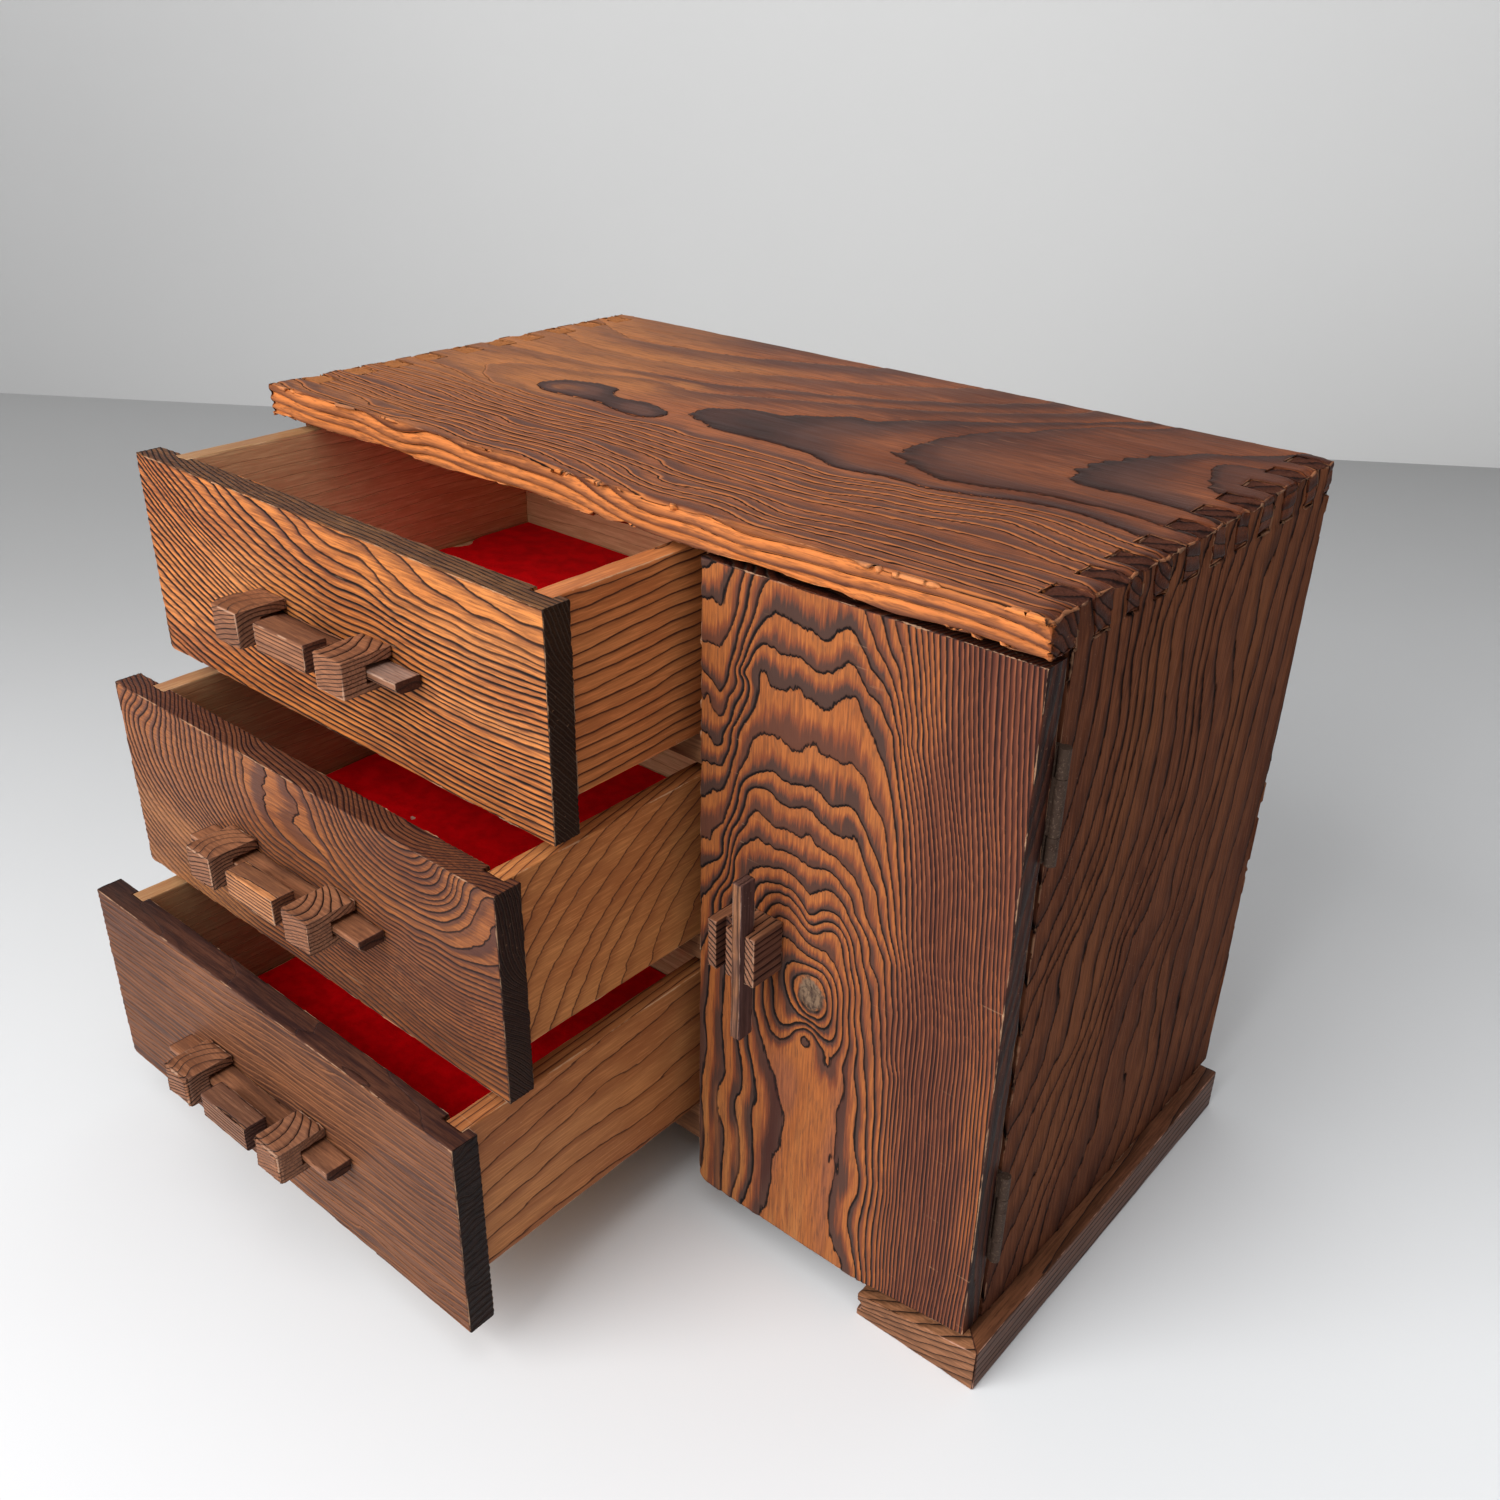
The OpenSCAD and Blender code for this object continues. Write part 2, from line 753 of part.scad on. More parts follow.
// side is -1 for the left post and 1 for the right one
module pull_post(i, side) {
  low = post_top - post_h;
  mid = pull_x + side * post_span / 2;
  color(burnt) in_drawer(i) translate([0, -front_t, front_h[i] / 2])
    long_bar(mid - post_w / 2, mid + post_w / 2)
      polygon([[0, low], [0, bar_top - bar_t], [-bar_d, bar_top - bar_t], [-bar_d, bar_top + notch_play],
               [0, bar_top + notch_play], [0, post_top], [-post_d, post_top], [-post_d, low]]);
}

module pull_block(i) {
  mid = pull_x + lap_shift;
  color(golden) in_drawer(i) translate([0, -front_t, front_h[i] / 2])
    box([mid - lap_w / 2, -post_d, post_top - lap_h], [mid + lap_w / 2, -bar_d, post_top]);
}

translate(-origin) {
  top_board();
  side_panel_left();
  side_panel_right();
  divider();
  bottom_board();
  shelf_upper();
  shelf_lower();
  back_panel();
  back_nails();
  plinth_rail_left();
  plinth_rail_right();
  plinth_rail_back();
  plinth_foot_left();
  plinth_foot_right();
  hinge_upper_case_leaf();
  hinge_lower_case_leaf();
  hinge_pins();
  case_hinge_screws();
  catch_block();
  catch_screws();
  door_panel();
  door_pull_block();
  door_pull_bar();
  hinge_upper_door_leaf();
  hinge_lower_door_leaf();
  door_hinge_screws();
  catch_plate();
  catch_plate_screw();
  for (i = [0 : 2]) {
    drawer = str("drawer_", LEVELS[i], "_");
    drawer_front(i);
    drawer_side(i, box_left, 1);
    drawer_side(i, box_right - box_t, -1);
    drawer_back(i);
    drawer_bottom(i);
    drawer_felt(i);
    pull_bar(i);
    pull_post(i, -1);
    pull_post(i, 1);
    pull_block(i);
  }
}
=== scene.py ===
# Small tansu chest of brushed, burnt wood: three drawers, one door, bracket-footed plinth.
# Lengths inside the makers are millimetres from the case's front left corner; pieces come out in metres.
# Every board has growth rings: the years at each point shape its brushed relief and choose its colours.
import bpy
import math
import numpy as np
from mathutils import Matrix, Vector


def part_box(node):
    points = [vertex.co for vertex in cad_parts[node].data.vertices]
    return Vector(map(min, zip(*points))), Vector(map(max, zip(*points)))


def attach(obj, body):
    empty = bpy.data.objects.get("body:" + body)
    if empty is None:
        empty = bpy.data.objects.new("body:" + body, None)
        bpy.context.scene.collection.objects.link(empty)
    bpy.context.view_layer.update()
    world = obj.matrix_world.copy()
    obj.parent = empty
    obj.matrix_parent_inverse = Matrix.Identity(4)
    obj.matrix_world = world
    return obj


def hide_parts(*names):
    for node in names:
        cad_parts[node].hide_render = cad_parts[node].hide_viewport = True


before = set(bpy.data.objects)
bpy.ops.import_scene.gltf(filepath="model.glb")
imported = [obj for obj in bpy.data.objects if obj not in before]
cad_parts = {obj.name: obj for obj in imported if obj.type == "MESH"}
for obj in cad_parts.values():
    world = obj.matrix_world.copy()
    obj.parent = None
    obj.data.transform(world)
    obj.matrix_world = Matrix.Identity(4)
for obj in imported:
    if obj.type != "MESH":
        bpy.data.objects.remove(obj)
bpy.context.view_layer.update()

mm = 0.001
caseCorner = np.array([175.0, 20.25, 0.0])  # the frame's origin, from the case's front left corner


def nodeBox(name):
    low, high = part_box(name)
    return np.array(low) / mm + caseCorner, np.array(high) / mm + caseCorner


# camera: turned about the vertical, then tipped down, then rolled
view = dict(place=(0.3307, -0.34095, 0.42617), turn=39.746, tip=-28.109, roll=-1.243, focal=34.168)


def makeCamera():
    data = bpy.data.cameras.new("camera")
    data.sensor_fit, data.sensor_width, data.lens = "HORIZONTAL", 36, view["focal"]
    data.clip_start, data.clip_end = 0.01, 20
    camera = bpy.data.objects.new("camera", data)
    bpy.context.scene.collection.objects.link(camera)
    turn = Matrix.Identity(3)
    for angle, axis in (("turn", "Z"), ("tip", "X"), ("roll", "Y")):
        turn = turn @ Matrix.Rotation(math.radians(view[angle]), 3, axis)
    right, ahead, up = turn.col
    aim = Matrix((right, up, -ahead)).transposed()
    camera.matrix_world = Matrix.Translation(view["place"]) @ aim.to_4x4()
    bpy.context.scene.camera = camera


makeCamera()
print("camera placed")


# smooth noise from a table of random numbers, one value for each point, from -1 to 1
noiseTable = np.random.RandomState(7).rand(4096)
cellSteps = (73, 1031, 389)  # how far a step along x, y and z moves through the table


def noise(points, size, seed=0):
    p = np.asarray(points, float) / size + seed * 17.31
    cell = np.floor(p).astype(int)
    part = p - cell
    part = part * part * (3 - 2 * part)
    total = np.zeros(len(p))
    for corner in np.ndindex(*(2,) * p.shape[1]):
        mix = sum(column * step for column, step in zip((cell + corner).T, cellSteps))
        weight = np.prod([part[:, a] if c else 1 - part[:, a] for a, c in enumerate(corner)], axis=0)
        total += weight * noiseTable[(mix + seed * 911) % len(noiseTable)]
    return total * 2 - 1


def smooth(low, high, value):
    t = np.clip((value - low) / (high - low), 0, 1)
    return t * t * (3 - 2 * t)


# ease: how loosely the field follows its lines; batch: points worked out at a time
drawing = dict(ease=4.0, batch=6000)


# a smooth field of year numbers that runs through drawn grain lines: {year: [(across, up), ...]}
def throughLines(lines):
    at = np.array([p for points in lines.values() for p in points], float)
    year = np.array([n for n, points in lines.items() for p in points], float)

    def bend(d2):
        return d2 * np.log(d2 + 1e-9)

    count = len(at)
    square = ((at[:, None] - at[None]) ** 2).sum(2)
    system = np.zeros((count + 3, count + 3))
    system[:count, :count] = bend(square) + drawing["ease"] * np.eye(count)
    system[:count, count] = system[count, :count] = 1
    system[:count, count + 1:] = at
    system[count + 1:, :count] = at.T
    weights = np.linalg.solve(system, np.concatenate([year, np.zeros(3)]))

    def years(u, v):
        found = np.empty(len(u))
        for start in range(0, len(u), drawing["batch"]):
            part = slice(start, start + drawing["batch"])
            d2 = (u[part, None] - at[:, 0]) ** 2 + (v[part, None] - at[:, 1]) ** 2
            level, slopeU, slopeV = weights[count:]
            found[part] = bend(d2) @ weights[:count] + level + u[part] * slopeU + v[part] * slopeV
        return found

    return years


# height of the brushed surface over one year: up through the late wood, down into a groove at its end
brushLook = dict(rise=(0.35, 0.8), level=0.35, groove=0.45, grooveRange=(0.03, 0.3), grooveDeep=1.15)


def brushed(years, pace):
    t = years - np.floor(years)
    wide = np.clip(brushLook["groove"] * pace, *brushLook["grooveRange"])
    groove = np.exp(-((1 - t) / wide) ** 2) + np.exp(-(t / wide) ** 2)
    return smooth(*brushLook["rise"], t) - brushLook["level"] - brushLook["grooveDeep"] * groove


# years per millimetre at each point, from the differences across the faces
def paceOf(points, quads, years):
    total, count = np.zeros(len(points)), np.full(len(points), 1e-9)
    square = np.zeros(len(quads))
    for a, b in ((0, 2), (1, 3)):
        gap = np.linalg.norm(points[quads[:, a]] - points[quads[:, b]], axis=1) + 1e-6
        square += ((years[quads[:, a]] - years[quads[:, b]]) / gap) ** 2
    for corner in range(4):
        np.add.at(total, quads[:, corner], np.sqrt(square))
        np.add.at(count, quads[:, corner], 1)
    return np.clip(total / count, 0.02, 1.2)


# grid lines from low to high, finer at the ends so that edges can be worn round
rimLines = (0.25, 0.7)


def gridLines(low, high, pitch, keep=()):
    span = high - low
    ends = [r for r in rimLines if r < span / 2 - 0.1]
    marks = sorted({low, high, *(low + r for r in ends), *(high - r for r in ends), *keep})
    marks = [m for i, m in enumerate(marks) if i == 0 or m - marks[i - 1] > 0.05]
    found = [marks[0]]
    for a, b in zip(marks, marks[1:]):
        found += list(np.linspace(a, b, max(1, math.ceil((b - a) / pitch)) + 1)[1:])
    return np.array(found)


# a closed solid from the cells of a grid: w[0] is its show face, the far face is laid in larger cells
def plateMesh(u, v, w, solid, coarse):
    shape = (len(w), len(u), len(v))
    pad = np.zeros([n + 1 for n in shape], bool)
    pad[1:-1, 1:-1, 1:-1] = solid

    def nodeAt(k, i, j):
        return (k * shape[1] + i) * shape[2] + j

    faces = []

    def lay(mask, corners, flip):
        k, i, j = np.nonzero(mask)
        quad = [nodeAt(k + a, i + b, j + c) for a, b, c in corners]
        faces.append(np.stack(quad[::-1] if flip else quad, 1))

    across = [(0, 0, 0), (0, 0, 1), (0, 1, 1), (0, 1, 0)]
    lay(pad[1:, 1:-1, 1:-1] & ~pad[:-1, 1:-1, 1:-1], across, False)
    far = pad[:-1, 1:-1, 1:-1] & ~pad[1:, 1:-1, 1:-1]
    bu, bv = (len(u) - 1) // coarse, (len(v) - 1) // coarse
    block = far[-1, :bu * coarse, :bv * coarse].reshape(bu, coarse, bv, coarse).all(axis=(1, 3))
    far[-1, :bu * coarse, :bv * coarse] &= ~np.repeat(np.repeat(block, coarse, 0), coarse, 1)
    lay(far, across, True)
    lengthwise = [(0, 0, 0), (1, 0, 0), (1, 0, 1), (0, 0, 1)]
    lay(pad[1:-1, 1:, 1:-1] & ~pad[1:-1, :-1, 1:-1], lengthwise, False)
    lay(pad[1:-1, :-1, 1:-1] & ~pad[1:-1, 1:, 1:-1], lengthwise, True)
    upward = [(0, 0, 0), (0, 1, 0), (1, 1, 0), (1, 0, 0)]
    lay(pad[1:-1, 1:-1, 1:] & ~pad[1:-1, 1:-1, :-1], upward, False)
    lay(pad[1:-1, 1:-1, :-1] & ~pad[1:-1, 1:-1, 1:], upward, True)
    edge = np.zeros((bu + 2, bv + 2), bool)
    edge[1:-1, 1:-1] = block
    many = []
    for bi, bj in np.argwhere(block):
        i, j, k = bi * coarse, bj * coarse, coarse
        ring = [(i, j)]
        ring += [] if edge[bi + 1, bj] else [(i + s, j) for s in range(1, k)]
        ring += [(i + k, j)]
        ring += [] if edge[bi + 2, bj + 1] else [(i + k, j + s) for s in range(1, k)]
        ring += [(i + k, j + k)]
        ring += [] if edge[bi + 1, bj + 2] else [(i + k - s, j + k) for s in range(1, k)]
        ring += [(i, j + k)]
        ring += [] if edge[bi, bj + 1] else [(i, j + k - s) for s in range(1, k)]
        many.append([nodeAt(len(w) - 1, a, b) for a, b in ring])
    quads = np.concatenate(faces)
    loose = np.array([a for r in many for a in r], int)
    used, where = np.unique(np.concatenate([quads.ravel(), loose]), return_inverse=True)
    quads = where[:quads.size].reshape(-1, 4)
    rest, ends = where[quads.size:], np.cumsum([len(r) for r in many]).astype(int)
    many = [list(rest[e - len(r):e]) for r, e in zip(many, ends)]
    layer, i, j = np.unravel_index(used, shape)
    # the outline's rim: which way is inward there, and how far other points lie from it
    flat = pad.any(0).astype(int)
    touch = flat[:-1, :-1] + flat[1:, :-1] + flat[:-1, 1:] + flat[1:, 1:]
    rim = (touch > 0) & (touch < 4)  # a rim point has some of its four cells filled, not all
    inU = np.sign(flat[1:, :-1] + flat[1:, 1:] - flat[:-1, :-1] - flat[:-1, 1:])
    inV = np.sign(flat[:-1, 1:] + flat[1:, 1:] - flat[:-1, :-1] - flat[1:, :-1])
    away = np.where(rim, 0.0, 9.0)
    du, dv = np.diff(u)[:, None], np.diff(v)[None]
    for _ in range(5):  # far enough in for the widest wear
        away[1:] = np.minimum(away[1:], away[:-1] + du)
        away[:-1] = np.minimum(away[:-1], away[1:] + du)
        away[:, 1:] = np.minimum(away[:, 1:], away[:, :-1] + dv)
        away[:, :-1] = np.minimum(away[:, :-1], away[:, 1:] + dv)
    info = dict(layer=layer, rim=rim[i, j], far=away[i, j], inU=inU[i, j], inV=inV[i, j])
    return np.stack([u[i], v[j], w[layer]], 1), quads, many, info


def meshFrom(name, points, quads, many, flip):
    mesh = bpy.data.meshes.new(name)
    loops = quads[:, ::-1] if flip else quads
    many = [ring[::-1] if flip else ring for ring in many]
    sizes = np.concatenate([np.full(len(loops), 4), np.array([len(r) for r in many], int)]).astype(int)
    flat = np.concatenate([loops.ravel(), np.array([a for r in many for a in r], int)]).astype(np.int32)
    mesh.vertices.add(len(points))
    mesh.vertices.foreach_set("co", ((points - caseCorner) * mm).astype(np.float32).ravel())
    mesh.loops.add(len(flat))
    mesh.loops.foreach_set("vertex_index", flat)
    mesh.polygons.add(len(sizes))
    mesh.polygons.foreach_set("loop_start", np.concatenate([[0], np.cumsum(sizes)[:-1]]).astype(np.int32))
    mesh.polygons.foreach_set("loop_total", sizes.astype(np.int32))
    mesh.update(calc_edges=True)
    mesh.validate()
    mesh.polygons.foreach_set("use_smooth", np.ones(len(mesh.polygons), bool))
    return mesh


def normalsOf(mesh):
    found = np.empty(len(mesh.vertices) * 3, np.float32)
    mesh.vertex_normals.foreach_get("vector", found)
    return found.reshape(-1, 3).astype(float)


def setPoints(mesh, points):
    mesh.vertices.foreach_set("co", ((points - caseCorner) * mm).astype(np.float32).ravel())
    mesh.update()


def store(mesh, name, values):
    made = mesh.attributes.new(name, "FLOAT", "POINT")
    made.data.foreach_set("value", np.asarray(values, np.float32))


def place(mesh, body, node, slot, finish):
    piece = bpy.data.objects.new(mesh.name, mesh)
    bpy.context.scene.collection.objects.link(piece)
    mesh.materials.append(finish)
    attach(piece, body)
    if node:
        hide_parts(node)
    return piece


faceAxes = {  # show face: (across, up, inward) axes and whether inward runs against its axis
    "front": (0, 2, 1, False), "top": (0, 1, 2, True), "right": (1, 2, 0, True), "left": (1, 2, 0, False),
    "back": (0, 2, 1, True)}


# uneven and nibbled: share and size of the noise on worn edges; bands are widths in millimetres
boardLook = dict(uneven=(0.55, 9.0), nibbled=(0.16, 2.5), rimDraw=0.3, surface=0.65, fibre=0.25,
                 deepest=1.6, endBand=0.45, rimBand=0.9, wallBand=0.5)


# one board or block: its box comes from the node it stands for, less the cuts; adds are boxes that make it up
def makeBoard(node, body, slot, finish, face, grain, pitch=0.75, coarse=4, worn=0.6, relief=0.15, cuts=(),
              adds=(), shape=None, tone=None, endTone=1.2, wallPitch=0.9, ledges=None, extra=None,
              tag="_wood"):
    low, high = nodeBox(node)
    a, b, c, against = faceAxes[face]
    solids = [np.array(box, float) for box in adds] or [np.array([low, high])]
    cuts = [np.array(box, float) for box in cuts]
    grids = []
    for axis, step in ((a, pitch), (b, pitch), (c, wallPitch)):
        marks = {float(x) for box in (*solids, *cuts) for x in box[:, axis] if low[axis] < x < high[axis]}
        grids.append(gridLines(float(low[axis]), float(high[axis]), step, marks))
    u, v, w = grids
    if against:
        w = w[::-1]
    mids = [(line[:-1] + line[1:]) / 2 for line in (w, u, v)]
    solid = np.zeros([len(m) for m in mids], bool)
    for boxes, filled in ((solids, True), (cuts, False)):
        for box in boxes:
            inside = [(m > box[0, axis]) & (m < box[1, axis]) for m, axis in zip(mids, (c, a, b))]
            solid[np.ix_(*inside)] = filled
    uvw, quads, many, info = plateMesh(u, v, w, solid, coarse)
    # worn edges: the rim and what lies next to it are drawn in on a small radius
    spots = np.empty_like(uvw)
    spots[:, a], spots[:, b], spots[:, c] = uvw.T
    (uneven, unevenSize), (nibbled, nibbleSize) = boardLook["uneven"], boardLook["nibbled"]
    wear = 1 + uneven * noise(uvw, unevenSize, 3) + nibbled * noise(uvw, nibbleSize, 4)
    wear = np.clip((worn(spots) if callable(worn) else worn) * wear, 0.05, None)
    inward = -1 if against else 1
    deep = (uvw[:, 2] - w[0]) * inward
    thick = abs(w[-1] - w[0])

    def draw(d):
        turn = wear - np.sqrt(np.clip(wear ** 2 - np.clip(wear - d, 0, None) ** 2, 0, None))
        return np.where(d < 1e-6, boardLook["rimDraw"] * wear, turn)

    first, last = info["layer"] == 0, info["layer"] == len(w) - 1
    drawn = inward * draw(info["far"])
    uvw[:, 2] += np.where(first, drawn, 0) - np.where(last, drawn, 0)
    shallow = np.minimum(deep, thick - deep)
    sideways = np.where(info["rim"] & (shallow < wear), draw(shallow), 0)
    uvw[:, 0] += info["inU"] * sideways
    uvw[:, 1] += info["inV"] * sideways
    points = np.empty_like(uvw)
    points[:, a], points[:, b], points[:, c] = uvw.T
    plain = points.copy()
    if shape:
        points = shape(points, low, high)
    axes = np.zeros((3, 3))
    axes[0, a] = axes[1, b] = 1
    axes[2, c] = inward
    mesh = meshFrom(node + tag, points, quads, many, np.linalg.det(axes) < 0)
    years = grain(plain, low, high)
    fibre = noise(points * grainStretch(grain), 1.0, 11)
    pace = paceOf(plain, quads, years)
    height = relief * (brushed(years, pace) - boardLook["surface"] + boardLook["fibre"] * fibre)
    if ledges:
        part = years - np.floor(years)
        height += ledges(plain) * (smooth(0, 0.7, part) - smooth(0.8, 1, part) - 1)
    points = np.clip(points + normalsOf(mesh) * np.clip(height, -boardLook["deepest"], 0)[:, None], low, high)
    setPoints(mesh, points)
    along, band = grain.along, boardLook["endBand"]
    ends = (plain[:, along] < low[along] + band) | (plain[:, along] > high[along] - band)
    shade = tone(plain, low, high, years) if tone else 0.3 * noise(plain * grainStretch(grain), 14.0, 12)
    store(mesh, "years", years)
    store(mesh, "pace", pace)
    for name, found in (extra or {}).items():
        store(mesh, name, found(plain, low, high))
    store(mesh, "tone", np.where(ends, endTone if endTone < 0 else np.maximum(shade, endTone), shade))
    onWall = np.where(shallow < boardLook["wallBand"], 1, 0)
    nearRim = np.where(first | last, np.exp(-(info["far"] / boardLook["rimBand"]) ** 2), onWall)
    store(mesh, "edge", nearRim * (0.75 + 0.5 * noise(points, 6.0, 5)))
    return place(mesh, body, node, slot, finish)


# fibres are fine across the board and long along it
def grainStretch(grain):
    return np.array([0.1 if axis == grain.along else 1.6 for axis in range(3)])


# year numbers inside a board: lines drawn from its show face's lower left corner, carried into the wood
def drawnGrain(face, lines, along, deepYears=0.3, bow=0.004, waver=0.25, seed=1):
    a, b, c, against = faceAxes[face]
    field = throughLines(lines)

    def grain(points, low, high):
        u, v = points[:, a] - low[a], points[:, b] - low[b]
        deep = (high[c] - points[:, c]) if against else (points[:, c] - low[c])
        stretch = np.array([1.0, 1.0, 1.0])
        stretch[along] = 0.22
        shift = waver * (noise(points * stretch, 4.0, seed) + 0.5 * noise(points * stretch, 1.7, seed + 1))
        years = field(u, v) + deepYears * deep + bow * deep ** 2 + 0.35 * shift
        return years + 0.3 * noise(years[:, None], 1.9, seed + 2)

    grain.along = along
    return grain


# year numbers of a plain board: rings about a pith line that runs along the board, off its show face
def plainGrain(along, pith, spacing, sway=6.0, swayLength=160.0, waver=0.25, seed=1, lean=0.0):
    others = [axis for axis in range(3) if axis != along]

    def grain(points, low, high):
        run = points[:, along] - low[along]
        p = (points[:, others[0]] - low[others[0]]) - pith[0]
        q = (points[:, others[1]] - low[others[1]]) - pith[1] - lean * run
        slow, quick = noise(run[:, None], swayLength, seed), noise(run[:, None], swayLength / 4, seed + 1)
        q = q + 0.3 * sway * slow + 0.12 * sway * quick
        p = p + sway * noise(run[:, None], swayLength * 1.3, seed + 4)
        stretch = np.array([1.0, 1.0, 1.0])
        stretch[along] = 0.15
        years = np.hypot(p, q) / spacing + waver * noise(points * stretch, 5.0, seed + 2)
        return years + 0.3 * noise(years[:, None], 2.3, seed + 3)

    grain.along = along
    return grain


# shader maths: a socket that takes part in Python expressions
class Wire:
    def __init__(self, finish, socket):
        self.finish, self.socket = finish, socket

    def math(self, operation, *others):
        return self.finish.node("ShaderNodeMath", {"operation": operation}, [self, *others])

    def __add__(self, other):
        return self.math("ADD", other)

    def __mul__(self, other):
        return self.math("MULTIPLY", other)

    def __sub__(self, other):
        return self.math("SUBTRACT", other)

    def __rsub__(self, other):
        return self.finish.node("ShaderNodeMath", {"operation": "SUBTRACT"}, [other, self])

    __radd__, __rmul__ = __add__, __mul__


class Finish:
    def __init__(self, name):
        self.material = bpy.data.materials.new(name)
        self.material.use_nodes = True
        self.tree = self.material.node_tree
        self.tree.nodes.clear()

    def node(self, kind, settings=None, values=None, output=0):
        made = self.tree.nodes.new(kind)
        for key, value in (settings or {}).items():
            setattr(made, key, value)
        for key, value in (values.items() if isinstance(values, dict) else enumerate(values or [])):
            if isinstance(value, Wire):
                self.tree.links.new(value.socket, made.inputs[key])
            elif value is not None:
                made.inputs[key].default_value = value
        return Wire(self, made.outputs[output])

    def mix(self, low, high, factor, blend="MIX"):
        first, last = [c if isinstance(c, Wire) else (*c, 1) for c in (low, high)]
        kind = {"data_type": "RGBA", "blend_type": blend}
        return self.node("ShaderNodeMix", kind, {0: factor, 6: first, 7: last}, 2)

    def step(self, value, low, high, first=0.0, last=1.0):
        kind = {"interpolation_type": "SMOOTHSTEP"}
        return self.node("ShaderNodeMapRange", kind, [value, low, high, first, last])

    def noise(self, where, scale, stretch=(1, 1, 1), detail=2.0, rough=0.5, offset=0.0):
        at = self.node("ShaderNodeMapping", {}, {0: where, 1: (offset, offset * 0.7, -offset), 3: stretch})
        values = {"Vector": at, "Scale": scale, "Detail": detail, "Roughness": rough}
        return self.node("ShaderNodeTexNoise", {}, values)

    def value(self, name):
        return self.node("ShaderNodeAttribute", {"attribute_name": name}, {}, 2)

    def where(self):
        return self.node("ShaderNodeTexCoord", {}, {}, 3)

    def out(self, **values):
        bump = values.pop("bump", None)
        if bump is not None:
            ridges = dict(zip(("Height", "Strength", "Distance"), bump))
            values["Normal"] = self.node("ShaderNodeBump", {}, ridges)
        values = {name.replace("_", " "): value for name, value in values.items()}
        shader = self.node("ShaderNodeBsdfPrincipled", {}, values)
        self.tree.links.new(shader.socket, self.tree.nodes.new("ShaderNodeOutputMaterial").inputs[0])
        return self.material


# brushed wood: colours from the year numbers that each board stores
# noise is scale, detail, roughness and offset; stretch is the share along the board, against 1 across it
woodNoise = dict(fibre=(1250.0, 3.0, 0.65, 0.0), streak=(520.0, 2.0, 0.5, 3.0), broad=(26.0, 3.0, 0.55, 9.0),
                 patch=(85.0, 3.0, 0.6, 13.0), torn=(420.0, 2.0, 0.55, 7.0), dash=(1300.0, 2.0, 0.5, 5.0),
                 long=(240.0, 3.0, 0.6, 15.0), crack=(700.0, 3.0, 0.6, 1.0), swirl=(260.0, 2.0, 0.6, 4.0),
                 rub=(300.0, 3.0, 0.65, 2.0))
woodStretch = dict(thread=0.05, dash=0.14, loose=0.3, split=0.5, even=1.0)
knotColours = ((0.185, 0.118, 0.074), (0.06, 0.036, 0.026))
grooveChar = (0.1, 0.062, 0.045)  # ash in the grooves of charred wood
scratchLook = dict(turn=(0.35, 0.5, 0.75), stretch=(0.06, 1, 1), scale=950.0, few=(0.7, 0.76))


